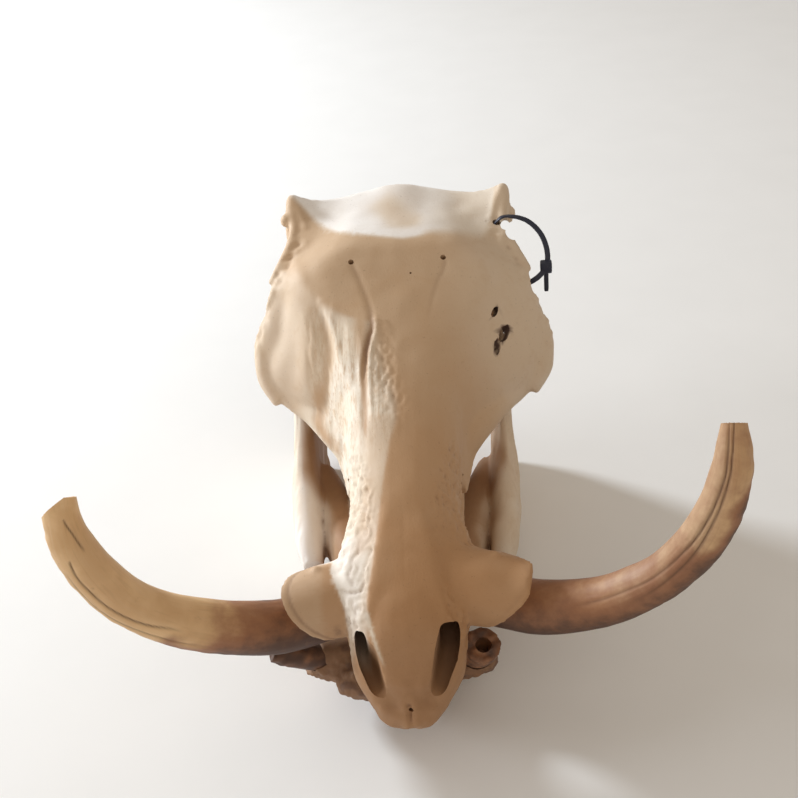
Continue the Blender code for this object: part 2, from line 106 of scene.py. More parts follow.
def add_tube(bm, rows, up=(0, 0, 1), square=0.0, steps=4, sides=SECTION_SIDES, twist=0.0, layers=None):
    """A closed tube through rows of (x, y, z, half width, reach up, reach down).

    The twist turns its section round the path. With layers, a pair of float layers, each point also
    keeps how far along and how far round it lies.
    """
    points = smooth_rows(rows, steps)
    centres = [Vector(p[:3]) for p in points]
    lengths = np.cumsum([0] + [(b - a).length for a, b in zip(centres, centres[1:])])
    faces_before = set(bm.faces)
    loops = []
    for i, (centre, row) in enumerate(zip(centres, points)):
        along = (centres[min(i + 1, len(centres) - 1)] - centres[max(i - 1, 0)]).normalized()
        side = along.cross(Vector(up)).normalized()
        side.rotate(Matrix.Rotation(math.radians(twist), 3, along))
        rise = side.cross(along)
        ring = bmesh.ops.create_circle(bm, segments=sides, radius=1.0)["verts"]
        for v in ring:
            if layers:
                v[layers[0]] = lengths[i]
                v[layers[1]] = math.degrees(math.atan2(v.co.y, v.co.x))
            across = math.copysign(abs(v.co.x) ** (1 - square), v.co.x)
            upward = math.copysign(abs(v.co.y) ** (1 - square), v.co.y)
            reach = row[4] if upward > 0 else row[5]
            v.co = (centre + side * across * row[3] + rise * upward * reach) * MM
        loops.append(once(e for v in ring for e in v.link_edges))
    for near, far in zip(loops, loops[1:]):
        bmesh.ops.bridge_loops(bm, edges=near + far)
    for end in (loops[0], loops[-1]):
        bmesh.ops.edgeloop_fill(bm, edges=end)
    made = [f for f in bm.faces if f not in faces_before]
    bmesh.ops.recalc_face_normals(bm, faces=made)
    return made


def add_rod(bm, rows, **options):
    """A tube of round section through rows of (x, y, z, radius)."""
    return add_tube(bm, [(*r[:3], r[3], r[3], r[3]) for r in rows], **options)


def one_rod(rows, **options):
    bm = bmesh.new()
    add_rod(bm, rows, **options)
    return bm


def add_ball(bm, centre, radii, turn=(0, 0, 0)):
    """A closed ellipsoid with these radii, turned by degrees about x, y and z."""
    spin = Matrix.Identity(4)
    for degrees, axis in zip(turn, "XYZ"):
        spin = Matrix.Rotation(math.radians(degrees), 4, axis) @ spin
    size = Matrix.Diagonal((*[r * MM for r in radii], 1))
    place = Matrix.Translation(Vector(centre) * MM) @ spin @ size
    return bmesh.ops.create_icosphere(bm, subdivisions=3, radius=1.0, matrix=place)["verts"]


def add_plate(bm, half_rows, thickness, steps=5):
    """A closed plate, the same on both sides, under rows of points from the middle outwards."""
    grid = [smooth_rows([(-x, y, z) for x, y, z in row[:0:-1]] + list(row), steps) for row in half_rows]
    grid = smooth_rows(grid, steps)
    rows, columns = grid.shape[:2]
    made = bmesh.ops.create_grid(bm, x_segments=columns - 1, y_segments=rows - 1, size=1.0)["verts"]
    for v, point in zip(made, grid.reshape(-1, 3)):
        v.co = Vector(point) * MM
    top = once(f for v in made for f in v.link_faces)
    bmesh.ops.recalc_face_normals(bm, faces=top)
    if sum(f.normal.z for f in top) < 0:
        bmesh.ops.reverse_faces(bm, faces=top)
    for v in made:
        v.normal_update()
    inward = {tuple(v.co): -v.normal.copy() for v in made}
    lower = bmesh.ops.duplicate(bm, geom=top)
    faces = [g for g in lower["geom"] if isinstance(g, bmesh.types.BMFace)]
    verts = [g for g in lower["geom"] if isinstance(g, bmesh.types.BMVert)]
    bmesh.ops.reverse_faces(bm, faces=faces)
    for v in verts:
        v.co += inward[tuple(v.co)] * thickness * MM
    rims = once(e for v in made + verts for e in v.link_edges if e.is_boundary)
    bmesh.ops.bridge_loops(bm, edges=rims)
    whole = once(f for v in made + verts for f in v.link_faces)
    bmesh.ops.recalc_face_normals(bm, faces=whole)


def mirrored(rows, side):
    return [(side * r[0], *r[1:]) for r in rows]


def object_of(bm, name):
    mesh = bpy.data.meshes.new(name)
    bm.to_mesh(mesh)
    bm.free()
    obj = bpy.data.objects.new(name, mesh)
    bpy.context.scene.collection.objects.link(obj)
    return obj


def settle(obj):
    """Applies the object's modifiers to its mesh."""
    bpy.context.view_layer.update()
    graph = bpy.context.evaluated_depsgraph_get()
    made = bpy.data.meshes.new_from_object(obj.evaluated_get(graph))
    obj.modifiers.clear()
    obj.data = made


def fuse(obj, voxel, rounds):
    """Joins the overlapping pieces of one mesh and rounds where they join."""
    remesh = obj.modifiers.new("Fuse", "REMESH")
    remesh.mode = "VOXEL"
    remesh.voxel_size = voxel * MM
    soften(obj, rounds)


def soften(obj, rounds):
    smooth = obj.modifiers.new("Soften", "SMOOTH")
    smooth.factor = 0.5
    smooth.iterations = rounds
    settle(obj)


def cut(obj, bm):
    """Takes the closed pieces in a bmesh away from the object."""
    cutter = object_of(bm, "cutter")
    boolean = obj.modifiers.new("Cut", "BOOLEAN")
    boolean.operation = "DIFFERENCE"
    boolean.solver = "EXACT"
    boolean.object = cutter
    settle(obj)
    bpy.data.objects.remove(cutter)


def box_between(low, high):
    bm = bmesh.new()
    size = Vector(high) - Vector(low)
    middle = (Vector(high) + Vector(low)) / 2
    place = Matrix.Translation(middle * MM) @ Matrix.Diagonal((*(size * MM), 1))
    bmesh.ops.create_cube(bm, size=1.0, matrix=place)
    return bm


def thin_out(obj, triangles):
    obj.data.calc_loop_triangles()
    share = triangles / len(obj.data.loop_triangles)
    if share < 1:
        decimate = obj.modifiers.new("Thin out", "DECIMATE")
        decimate.ratio = share
        settle(obj)


def lay_down(obj):
    """Turns a piece from the skull's own frame into the frame of the floor."""
    obj.data.transform(FLOOR_FROM_SKULL)


def shade_smooth(obj):
    """Smooth shading that stops at the rims of openings."""
    obj.data.shade_smooth()
    obj.data.set_sharp_from_angle(angle=SHARP_ANGLE)


# Strokes that push a surface in and out


def ramp(value, low, high):
    """0 up to low, 1 from high on, and smooth between them."""
    t = np.clip((value - low) / (high - low), 0, 1)
    return t * t * (3 - 2 * t)


def span(value, low, high, soft):
    """1 between low and high, fading to 0 over the soft width on either side."""
    return ramp(value, low - soft, low) * (1 - ramp(value, high, high + soft))


def nearness(points, path, width, steps=5):
    """How close each point is to a path of (x, y, z) or (x, y, z, strength): 1 on it, fading out."""
    path = smooth_rows([(*p, 1.0) if len(p) == 3 else p for p in path], steps)
    spots = path[:, :3]
    chosen = np.all((points > spots.min(0) - 3 * width) & (points < spots.max(0) + 3 * width), axis=1)
    near = points[chosen]
    best = np.full(len(near), 1e9)
    strength = np.zeros(len(near))
    for (a, s), (b, e) in zip(zip(spots, path[:, 3]), zip(spots[1:], path[1:, 3])):
        step = b - a
        t = np.clip((near - a) @ step / max(step @ step, 1e-9), 0, 1)
        away = np.linalg.norm(near - a - t[:, None] * step, axis=1)
        closer = away < best
        best = np.where(closer, away, best)
        strength = np.where(closer, s + (e - s) * t, strength)
    out = np.zeros(len(points))
    out[chosen] = strength * np.exp(-((best / width) ** 2))
    return out


def noise_at(points, size, where=None, stretch=(1, 1, 1), seed=0.0):
    """Smooth noise of about -1 to 1 with bumps of this size in millimetres."""
    scale = np.array(stretch) / size
    out = np.zeros(len(points))
    chosen = np.arange(len(points)) if where is None else np.nonzero(where > 0.01)[0]
    for i, p in zip(chosen, (points[chosen] * scale + seed).tolist()):
        out[i] = noise.noise(p)
    return out * 1.6


class Clay:
    """The points of a bone in millimetres, which strokes push along the surface's normals."""

    def __init__(self, obj):
        self.mesh = obj.data
        self.read()

    def read(self):
        flat = np.empty(len(self.mesh.vertices) * 3, np.float32)
        self.mesh.vertices.foreach_get("co", flat)
        self.points = flat.reshape(-1, 3).astype(float) / MM
        self.mesh.vertices.foreach_get("normal", flat)
        self.normals = flat.reshape(-1, 3).astype(float)

    def push(self, height):
        """Moves each point along its normal by its height, and reads the normals again."""
        moved = (self.points + self.normals * height[:, None]) * MM
        self.mesh.vertices.foreach_set("co", moved.astype(np.float32).ravel())
        self.mesh.update()
        self.read()

    def facing(self, way, low=-0.1, high=0.3):
        return ramp(self.normals @ np.array(way), low, high)

    def stroke(self, path, width, height, way=None):
        """A ridge or, with a height below 0, a groove along a path."""
        amount = nearness(self.points, path, width) * height
        if way is not None:
            amount = amount * self.facing(way)
        return amount


# The cranium


def add_rostrum(bm):
    """Premaxilla, maxilla and nasal bones as one block from the front to between the orbits."""
    add_tube(bm, [
        (0, 3.5, 19, 10.5, 7, 5),
        (0, 8, 19, 16.5, 14, 9),
        (0, 18, 20, 23.5, 24, 12),
        (0, 34, 25, 33, 31, 16),
        (0, 52, 30, 35, 36, 19),
        (0, 80, 36, 36, 38, 23),
        (0, 110, 42, 34, 40, 28),
        (0, 140, 47, 34, 44, 33),
        (0, 170, 54, 37, 45, 40),
        (0, 205, 62, 40, 47, 47),
        (0, 240, 74, 44, 46, 52),
        (0, 275, 88, 46, 43, 48),
        (0, 300, 92, 44, 46, 44),
    ], square=0.2)
    add_plate(bm, SNOUT_ROWS, thickness=SNOUT_THICKNESS)


# The top of the snout, in rows from the middle outwards
SNOUT_ROWS = [
    [(0, 6, 31), (4, 5, 31), (7, 5, 30), (10, 6, 27), (12, 7, 23), (13, 8, 18)],
    [(0, 16, 44), (8, 16, 43), (12, 16, 41), (16, 16, 37.5), (20, 17, 31), (22, 18, 23)],
    [(0, 28, 53), (13, 28, 52), (18, 28, 50), (22, 28, 46.5), (27, 29, 38.5), (29.5, 30, 28)],
    [(0, 40, 60), (19, 40, 58.5), (23.5, 40, 56.5), (27, 40, 53.5), (32, 41, 45), (34, 42, 33)],
    [(0, 53, 66), (20, 53, 65), (24.5, 53, 63), (28, 53, 60), (34, 53, 52.5), (36.5, 54, 40)],
    [(0, 66, 71), (17.5, 66, 70.5), (22, 66, 68.7), (26, 66, 66), (37, 66, 59.5), (39.5, 66, 48)],
    [(0, 82, 75.5), (15.5, 82, 75), (20, 82, 73), (24, 82, 70.5), (43, 83, 62.5), (46, 84, 50)],
    [(0, 100, 80.5), (12.5, 100, 80), (16.5, 100, 78.3), (21, 100, 75), (38.5, 100, 64), (42.5, 101, 50)],
    [(0, 120, 86), (9.5, 120, 85.7), (13.5, 120, 84), (18, 120, 80.5), (34, 120, 66), (38.5, 120, 50)],
    [(0, 145, 92.5), (7.5, 145, 92), (11.5, 145, 90.5), (16, 145, 86.5), (31, 145, 70.5), (36, 145, 52)],
    [(0, 168, 98), (9, 168, 97.5), (17, 168, 95.5), (25, 168, 89), (34, 168, 73), (38.5, 168, 50)],
]
SNOUT_THICKNESS = 9.0

# The broad face from the muzzle over the brows and cheeks back to the crest
FACE_ROWS = [
    [(0, 168, 98), (12, 168, 97), (24, 168, 91), (33, 169, 74), (37, 170, 50), (40, 171, 28)],
    [(0, 200, 109), (16, 200, 107.5), (29, 200, 99), (38, 200, 80), (43, 200, 58), (48, 200, 37)],
    [(0, 222, 116), (22, 222, 114), (38, 222, 104), (48, 222, 86), (55, 223, 66), (61, 227, 42)],
    [(0, 240, 122), (28, 240, 119), (47, 240, 109), (61, 240, 91), (73, 240, 71), (84, 243, 47)],
    [(0, 257, 127), (38, 257, 123.8), (58, 257, 113.5), (77, 257, 95), (91, 257, 76), (101, 259, 57)],
    [(0, 275, 133), (44, 275, 131), (62, 275, 124.5), (82, 275, 108.5), (97, 275, 91.5), (105.5, 275, 74)],
    [(0, 289, 138), (44, 289, 136.3), (62, 289, 131), (75, 289, 122.5), (84, 289, 115.5), (92.5, 288, 107)],
    [(0, 303, 142), (36, 303, 140.5), (56, 303, 134), (69, 303, 127), (80, 303, 120), (89.5, 302, 115)],
    [(0, 323, 141), (28, 323, 139.8), (44, 323, 135.8), (57, 323, 131), (67, 323, 128.8), (76.5, 323, 127)],
    [(0, 345, 137), (26, 345, 136), (46, 345, 134), (58, 345, 131.8), (65, 345, 131), (71, 345, 130.8)],
    [(0, 377, 136), (24, 374, 133), (46, 371, 131), (60, 370, 133), (69, 369, 136.5), (77, 368, 139.5)],
]
FACE_THICKNESS = 7.5


# Rough knobs on the brows, each as (x, y, z, radius)
BROW_KNOBS = {
    RIGHT: [(80, 351.5, 128, 4.8), (79.5, 315.5, 120.5, 3.6), (83, 308, 117.5, 3.2),
            (86.5, 302, 114.5, 3.6)],
    LEFT: [(79.8, 354.5, 122.5, 5), (80.5, 317, 118.5, 3.4), (85, 309.5, 114, 3.8), (89, 304, 110.5, 3.4),
           (91.5, 292, 102.5, 3.2)],
}


def add_brow(bm, side):
    """The thick rough rim from the corner of the crest along the upper edge of the orbit."""
    add_rod(bm, mirrored([
        (75, 368, 135, 4.5),
        (75.5, 360, 131.5, 5),
        (74, 348, 128, 4.5),
        (73.5, 336, 126.5, 4),
        (76, 324, 124, 4),
        (83, 311, 118, 3.6),
        (89, 299, 112, 3.4),
    ], side))
    for x, y, z, radius in BROW_KNOBS[side]:
        add_ball(bm, (side * x, y, z), (radius * 0.9, radius * 1.15, radius))


def add_arch(bm, side):
    """The zygomatic arch from the cheek back and up to its root beside the crest."""
    add_tube(bm, mirrored([
        (84, 250, 50, 10, 6, 10),
        (95, 264, 62, 9.5, 10, 17),
        (96, 280, 69, 8.5, 18, 22),
        (94.5, 298, 62, 7.5, 14, 20),
        (90, 316, 67, 6.5, 13, 18),
        (83, 333, 84, 6.5, 12, 15),
        (74, 346, 101, 6.5, 12, 15),
        (75, 358, 114, 7, 12, 18),
        (66, 366, 118, 8, 12, 22),
    ], side))


def add_cheek_root(bm, side):
    """What carries the cheek from below: the root of the arch over the last teeth."""
    add_tube(bm, mirrored([
        (30, 198, 44, 14, 22, 18),
        (44, 219, 48, 15, 16, 18),
        (60, 238, 50, 14, 11, 13),
        (77, 253, 52, 12, 8, 12),
        (90, 263, 60, 9, 8, 13),
    ], side))


def add_orbit_bar(bm, side):
    """The bar behind the orbit, from the forehead down to the arch."""
    add_tube(bm, mirrored([
        (62, 322, 121, 5, 7, 7),
        (73, 322, 117, 4.5, 6.5, 6.5),
        (80, 322, 106, 4.5, 6, 6),
        (86, 320, 90, 5.5, 8, 8),
    ], side), up=(0, 1, 0))


def add_braincase(bm):
    """The box of the brain, inside the face and the crest."""
    add_tube(bm, [
        (0, 275, 88, 40, 38, 42),
        (0, 300, 92, 38, 40, 44),
        (0, 325, 92, 40, 38, 46),
        (0, 350, 90, 44, 38, 46),
        (0, 370, 88, 44, 40, 44),
    ], square=0.1)


def add_crest(bm):
    """The crest across the back of the head and the plate of the occiput below it."""
    add_tube(bm, [
        (-78, 366, 127, 5, 9, 14),
        (-62, 370, 121, 6, 9, 18),
        (-36, 374, 120, 7, 10, 22),
        (0, 377, 124, 8, 11, 24),
        (36, 374, 120, 7, 10, 22),
        (62, 370, 121, 6, 9, 18),
        (78, 366, 127, 5, 9, 14),
    ])
    add_tube(bm, [
        (0, 372, 128, 66, 6, 8),
        (0, 369, 108, 62, 8, 10),
        (0, 367, 84, 50, 12, 12),
        (0, 368, 62, 38, 14, 14),
        (0, 366, 44, 22, 12, 12),
    ], up=(0, 1, 0), square=0.2)


def add_condyle(bm, side):
    """The occipital condyle and the long process beside it."""
    add_ball(bm, (side * 17, 377, 54), (10, 13, 15), (-25, side * 25, 0))
    add_tube(bm, mirrored([
        (48, 360, 86, 13, 9, 9),
        (45, 358, 60, 9, 7, 7),
        (41, 356, 36, 7, 5, 5),
        (38, 352, 14, 4, 3.5, 3.5),
    ], side), up=(0, 1, 0))


def add_ear_root(bm, side):
    """The squamosal: the wall over the ear and the plate of the jaw joint."""
    add_tube(bm, mirrored([
        (38, 348, 96, 18, 18, 18),
        (58, 352, 98, 15, 14, 16),
        (74, 354, 104, 10, 11, 12),
    ], side))
    add_tube(bm, mirrored([
        (36, 330, 90, 14, 12, 14),
        (56, 328, 89, 13, 9, 12),
        (74, 328, 90, 12, 8, 12),
        (84, 330, 92, 9, 8, 10),
    ], side), square=0.2)


def add_base(bm):
    """The base of the braincase, with the wings of the pterygoids and the ear bullae."""
    add_tube(bm, [
        (0, 225, 46, 22, 16, 10),
        (0, 270, 54, 20, 16, 8),
        (0, 320, 54, 18, 14, 8),
        (0, 368, 52, 18, 14, 8),
    ])
    for side in BOTH_SIDES:
        add_tube(bm, mirrored([
            (25, 222, 32, 5, 24, 12),
            (23, 245, 38, 4, 26, 20),
            (20, 264, 44, 4, 22, 20),
        ], side))
        add_ball(bm, (side * 25, 336, 46), (8, 10, 18), (12, 0, 0))


# The bony sleeves of the upper tusks: how much the left one is lifted and the right one lowered, the
# middle and the slant of the rim, and the crack round the sleeve just behind the rim
SLEEVE_LIFT = 3.5
RIM_MIDDLE = (58.8, 75, 46)
RIM_SLANT = math.radians(-45)
SEAM_BEHIND_RIM = 4.2
SEAM_WIDTH = 0.9


def add_sleeve(bm, side):
    """The bony sleeve round the root of the upper tusk, flared out to the side."""
    lift = SLEEVE_LIFT * side
    add_tube(bm, mirrored([
        (12, 88, 42, 22, 22, 18),
        (32, 84, 43 + lift, 25, 24, 18),
        (48, 79, 43 + lift, 25, 24, 18),
        (64, 75, 42.5 + lift, 23.5, 22.5, 17),
        (78, 72, 42.5 + 1.5 * lift, 22, 22, 14),
    ], side))
    add_ball(bm, (side * 53, 88, 60 + lift), (4.5, 5, 7), (0, side * 20, 0))


def add_tooth_rim(bm, side):
    """The raised bone in which the upper cheek teeth stand."""
    add_tube(bm, mirrored([
        (27, 138, 14, 9, 8, 6),
        (28, 185, 14, 10, 8, 6),
        (30, 238, 14, 10.5, 8, 6),
    ], side), square=0.5)


NARIS_ROWS = {
    RIGHT: [
        (18, 120, 45, 4, 8, 8), (21, 84, 45, 6.5, 8, 12), (23.6, 63, 45, 6.5, 8, 14),
        (26, 54, 45, 5.2, 8, 15), (27.4, 47, 45, 3.8, 10, 15), (27.4, 42, 44.6, 3.6, 18, 15),
        (26, 37, 44, 4.4, 22, 15), (23.2, 31, 43, 5.6, 24, 14), (19.8, 22, 41.6, 4.9, 23, 11),
        (16.8, 15, 40.6, 4, 22, 7), (14.6, 9.5, 40, 2.6, 20, 5),
    ],
    LEFT: [
        (18, 120, 45, 4, 8, 8), (21, 84, 45, 6.5, 8, 12), (23.6, 63, 45, 6.6, 8, 14),
        (25.2, 55, 45, 6.4, 8, 15), (25.3, 49, 45, 6.2, 13, 15), (25, 44, 44.6, 6.2, 20, 15),
        (24, 38, 44, 6.4, 22, 15), (22.4, 31, 43, 6.2, 24, 14), (19.4, 22, 41.6, 5, 23, 11),
        (16.8, 15, 40.6, 4, 22, 7), (14.6, 9.5, 40, 2.6, 20, 5),
    ],
}


def nares():
    """The two openings of the nose, which run back inside the snout."""
    bm = bmesh.new()
    for side in BOTH_SIDES:
        add_tube(bm, mirrored(NARIS_ROWS[side], side), square=0.35, steps=6, sides=44)
    return bm


def rim_middle(side):
    x, y, z = RIM_MIDDLE
    return (side * x, y, z + SLEEVE_LIFT * side)


def rim_direction(side):
    """The way that the rim of a sleeve faces."""
    return np.array([side * math.cos(RIM_SLANT), 0, math.sin(RIM_SLANT)])


def rim_seam(points, side):
    """How close each point lies to the crack that runs round a sleeve."""
    past_rim = (points - np.array(rim_middle(side))) @ rim_direction(side)
    return np.exp(-(((past_rim + SEAM_BEHIND_RIM) / SEAM_WIDTH) ** 2))


def sleeve_end(side, shortened=0.0):
    """What lies beyond the slanting rim of the sleeve, which reaches furthest at the top."""
    bm = bmesh.new()
    turn = Matrix.Rotation(-side * RIM_SLANT, 4, "Y")
    middle = Matrix.Translation(Vector(rim_middle(side)) * MM)
    aside = Matrix.Translation(Vector((side * (30 - shortened), 0, 0)) * MM)
    size = Matrix.Diagonal((60 * MM, 90 * MM, 66 * MM, 1))
    bmesh.ops.create_cube(bm, size=1.0, matrix=middle @ turn @ aside @ size)
    return bm


def orbit(side):
    bm = bmesh.new()
    add_ball(bm, (side * 88, 301, 94), (30, 17, 19))
    return bm


def socket(rows):
    """The first part of a tusk with the gap round it, a little deeper than its root."""
    root, nearest = Vector(rows[0][:3]), Vector(rows[1][:3])
    deeper = root + (root - nearest).normalized() * SOCKET_GAP * 2
    rows = [(*deeper, rows[0][3]), *rows[1:]]
    return one_rod([(x, y, z, r + SOCKET_GAP) for x, y, z, r in rows], steps=4, sides=64)


def back_openings():
    """The foramen magnum and the back of the nose."""
    bm = bmesh.new()
    add_tube(bm, [
        (0, 340, 70, 9, 8, 7),
        (0, 372, 64, 12, 11, 9),
        (0, 396, 62, 13, 12, 10),
    ], sides=32)
    add_tube(bm, [
        (0, 210, 36, 9, 9, 9),
        (0, 236, 32, 13, 13, 12),
        (0, 262, 22, 14, 16, 20),
    ], sides=32)
    return bm


def small_openings():
    """The foramina that nerves and vessels leave by."""
    bm = bmesh.new()
    add_rod(bm, [(1.0, 2, 33, 1.7), (0.8, 7, 30, 1.4), (0.5, 12, 26, 0.9)], steps=2, sides=14)
    add_rod(bm, [(8.8, 277.2, 135, 0.8), (8.8, 278.5, 131.5, 0.6)], steps=1, sides=10)
    for side in BOTH_SIDES:
        add_rod(bm, mirrored([(31, 288.5, 137.5, 2.0), (31, 291.5, 130, 1.6), (30, 295, 124, 1.2)], side),
                steps=2, sides=16)
        add_tube(bm, mirrored([(44, 152, 52, 5, 6, 6), (34, 166, 52, 4.5, 5, 5), (28, 182, 54, 3, 3, 3)],
                              side), sides=20)
        for rows, sides in DEEP_FORAMINA:
            add_rod(bm, mirrored(rows, side), sides=sides)
    return bm


# The openings behind the orbit, in the base and in the palate, each with its section's sides
DEEP_FORAMINA = [
    ([(60, 340, 84, 4), (44, 338, 78, 3.4), (34, 336, 74, 2.4)], 16),
    ([(14, 352, 38, 3), (17, 350, 52, 2.6), (18, 348, 62, 2)], 16),
    ([(12, 190, 8, 2.2), (13, 200, 22, 1.8), (13, 206, 30, 1.2)], 14),
]

# Holes broken into the left cheek: centre, radii, turn and how ragged
BROKEN_HOLES = [
    ((63.2, 261.2, 109.6), (2.1, 4.5, 8), (35, 30, -20), 0.25),
    ((69.3, 253.4, 97.6), (3.7, 6.2, 10), (35, 30, -8), 0.22),
    ((62.8, 245.4, 92.6), (2.9, 5.2, 9), (35, 30, 58), 0.25),
]

# What is cut through the rim of the left orbit, each a path with its radius: the way of the cable tie
# and two bites
RIM_CUTS = [
    [(62, 339.5, 111, 2.9), (67, 336.5, 123, 2.9), (71, 333.5, 132.8, 2.7), (76, 335.5, 132.6, 2.6),
     (80, 337, 131.8, 2.6), (86, 337.5, 130.6, 2.6)],
    [(73.5, 306, 147.7, 3.1), (74.1, 316, 140.3, 3.1), (75.8, 345, 118.9, 3.3), (77.4, 372, 99, 3.5)],
    [(79.9, 306, 142.8, 6.4), (80.6, 316, 135.3, 6.4), (82.5, 345, 113.7, 6.6), (84.4, 372, 93.5, 6.8)],
]


def broken_hole(centre, radii, turn, ragged):
    bm = bmesh.new()
    for v in add_ball(bm, centre, radii, turn):
        away = v.co - Vector(centre) * MM
        v.co += away * ragged * (noise.noise(v.co / MM * 0.3) + 0.6 * noise.noise(v.co / MM * 0.7))
    return bm


# Lines on the face, each as (x, y, z, strength)
FOREHEAD_EDGE = [
    (-74.8, 311, 126, 0.4), (-66, 291, 127, 1), (-59, 277, 124, 1), (-50.6, 266, 122.3, 1),
    (-39.7, 253, 120.3, 0.9), (-29, 239, 118.2, 0.8), (-25.2, 227, 114.7, 0.3),
]
NERVE_GROOVE = {
    RIGHT: [
        (-30.1, 285.6, 135.2, 1), (-27.3, 279.5, 133, 1), (-22.8, 267.6, 129, 0.8),
        (-18.9, 253.7, 125.1, 0.8), (-17.8, 240.5, 121.1, 1.2), (-19.9, 232.4, 118, 2),
        (-22.7, 219.2, 112.9, 3), (-24.2, 206, 107.9, 3), (-24.6, 192.7, 103, 3),
        (-24.5, 179.4, 98.5, 2.6), (-24.4, 167.2, 94.9, 1.6), (-24, 152, 91, 0),
    ],
    LEFT: [
        (31.9, 285.7, 135.2, 1), (30.3, 279.4, 132.7, 1), (26, 270.9, 129.8, 0.8),
        (23, 260.7, 126.6, 0.6), (20, 247.3, 122.8, 0.2),
    ],
}
GROOVE_CREST = [
    (-15.8, 246, 123.5, 0.4), (-14.5, 240, 121.6, 0.9), (-17.4, 227.7, 117, 1), (-19, 215.7, 112.5, 1),
    (-19.4, 205, 109, 1), (-19.2, 189.7, 104, 0.9), (-18.2, 175.4, 100, 0.6), (-17, 160, 97, 0),
]
GROOVE_SPUR = [(-14.8, 245.2, 123, 1), (-9.2, 242.5, 122.4, 0.8), (-5, 237, 120.9, 0.2)]
CHEEK_VALLEY = [
    (-79, 287, 118, 0.3), (-81.5, 276.2, 109, 0.9), (-84.2, 266.6, 95, 1), (-91.5, 262.9, 80, 0.9),
    (-96, 259, 70, 0.3),
]
CHEEK_SWELLING = [
    (-67, 281, 121.5, 0.2), (-65, 262, 114.5, 0.8), (-63, 246, 101, 1), (-65.5, 237, 82, 1),
    (-68, 231, 67, 0.5),
]
CHEEK_TROUGH = [
    (-53, 266, 123.5, 0.2), (-50, 250, 113.5, 0.9), (-48, 238, 106, 1), (-48.5, 231, 94, 1),
    (-53, 226, 75, 0.9), (-59, 220, 62, 0.5),
]
# Painted shadow under the right cheek, as a path of (x, y, z, strength)
UNDER_CHEEK = [
    (-55, 229, 78, 0.6), (-60, 223, 66, 1), (-61, 215, 56, 1), (-56, 205, 52, 1), (-50, 195, 52, 0.8),
]
CHEEK_RIDGE = [
    (-66, 262, 115, 0.2), (-64.8, 260.2, 114.4, 0.5), (-60.7, 249.9, 110.7, 1), (-57.5, 241.9, 106.1, 0.9),
    (-58, 236, 98, 0.2),
]
FIBRE_RIDGE = [
    (-51, 263.3, 123.9, 0.5), (-46, 251.6, 117.5, 1), (-41.4, 235.1, 111, 1), (-39, 222.2, 105, 0.8),
    (-38, 205, 97, 0.3),
]
FIBRE_BAND = [
    (-35.6, 234.7, 115.4, 0.6), (-34.8, 216.8, 106, 1), (-33.4, 199.5, 98, 1), (-31.6, 178.6, 91, 0.5),
]
NARIS_EDGE = [
    (-22.3, 52, 63, 1), (-21, 45, 61, 1), (-17.8, 34, 57.5, 1), (-14.6, 26, 53.5, 0.7), (-11.8, 20, 50, 0),
]
TAN_WEDGE = [
    (-26.5, 264.3, 128.3, 1), (-25.4, 249.7, 123.3, 1), (-24.9, 235.4, 118.4, 0.9), (-24.6, 219.4, 111, 0.5),
]
FLECKS = [
    (-12, 232, 118, 0.7), (-12, 215, 113, 1), (-9, 200, 109, 1), (-5, 186, 105, 0.8), (-6, 172, 101, 0.3),
]
FLANK_CRACKS = [
    [(-27, 106, 74, 0.3), (-28, 94, 71, 1), (-32, 89, 69, 1), (-28, 83, 70, 1), (-30, 77, 68, 0.4)],
    [(-38, 71, 62, 0.3), (-34, 68, 63, 1), (-27, 67, 66, 1), (-24, 73, 69, 0.6)],
    [(-34, 92, 68, 0.3), (-32, 84, 68, 1), (-34, 79, 66, 1), (-31, 72, 65, 0.8)],
    [(-33, 64, 62, 0.5), (-30, 56, 60, 1), (-31, 50, 56, 0.4)],
]
PREMAXILLA_SEAM = [(-44, 68, 44), (-40, 66, 50), (-33, 65, 58), (-27, 72, 66), (-23, 80, 70), (-20, 92, 74)]


def fibre_zone(points):
    """Where the right side of the face is covered with fine fibres along it."""
    x, y = points.T[:2]
    upper = 236 + 24 * ramp(-x, 34, 44)
    return ramp(y, 134, 186) * (1 - ramp(y - upper, -22, 22)) * span(x, -60, -10, 6)


# Strokes on the upper side of the face, each as (path, width, height)
LOW_RELIEF = [
    (CHEEK_VALLEY, 8, -2.6), (CHEEK_SWELLING, 11, 3.2), (CHEEK_TROUGH, 6, -2.2), (CHEEK_RIDGE, 2.4, 1.0),
    (FIBRE_RIDGE, 3.4, 1.5), (FIBRE_BAND, 6, 1.0), (FOREHEAD_EDGE, 5, 1.1),
    ([(0, 366, 136), (0, 356, 136)], 15, 1.4),
]
CREST_RELIEF = [
    ([(44, 352, 133), (48, 340, 134)], 13, -1.8),
    ([(66, 340, 132), (70, 356, 134), (75, 366, 137)], 3, 1.2),
]
FINE_RELIEF = [
    (NERVE_GROOVE[RIGHT], 2.2, -0.7), (NERVE_GROOVE[LEFT], 1.7, -0.5), (GROOVE_CREST, 2.0, 1.3),
    (GROOVE_SPUR, 1.5, 0.8),
]
NASAL_SUTURE = [(0, 14, 44), (0, 60, 68), (0, 130, 88), (0, 190, 106)]
TIP_CLEFT = [(0, 8, 33), (0.3, 4.5, 27), (0.5, 2.5, 20), (0.5, 3, 14)]
NARIS_FLOOR = [(19, 26, 47), (14, 14, 39), (9, 6, 32)]
BEHIND_SLEEVE = [(50, 101, 58), (43, 96, 62), (41, 86, 63)]
ROUGH_BROW = [(70, 322, 131), (82, 303, 120), (92, 288, 111), (104, 275, 78)]


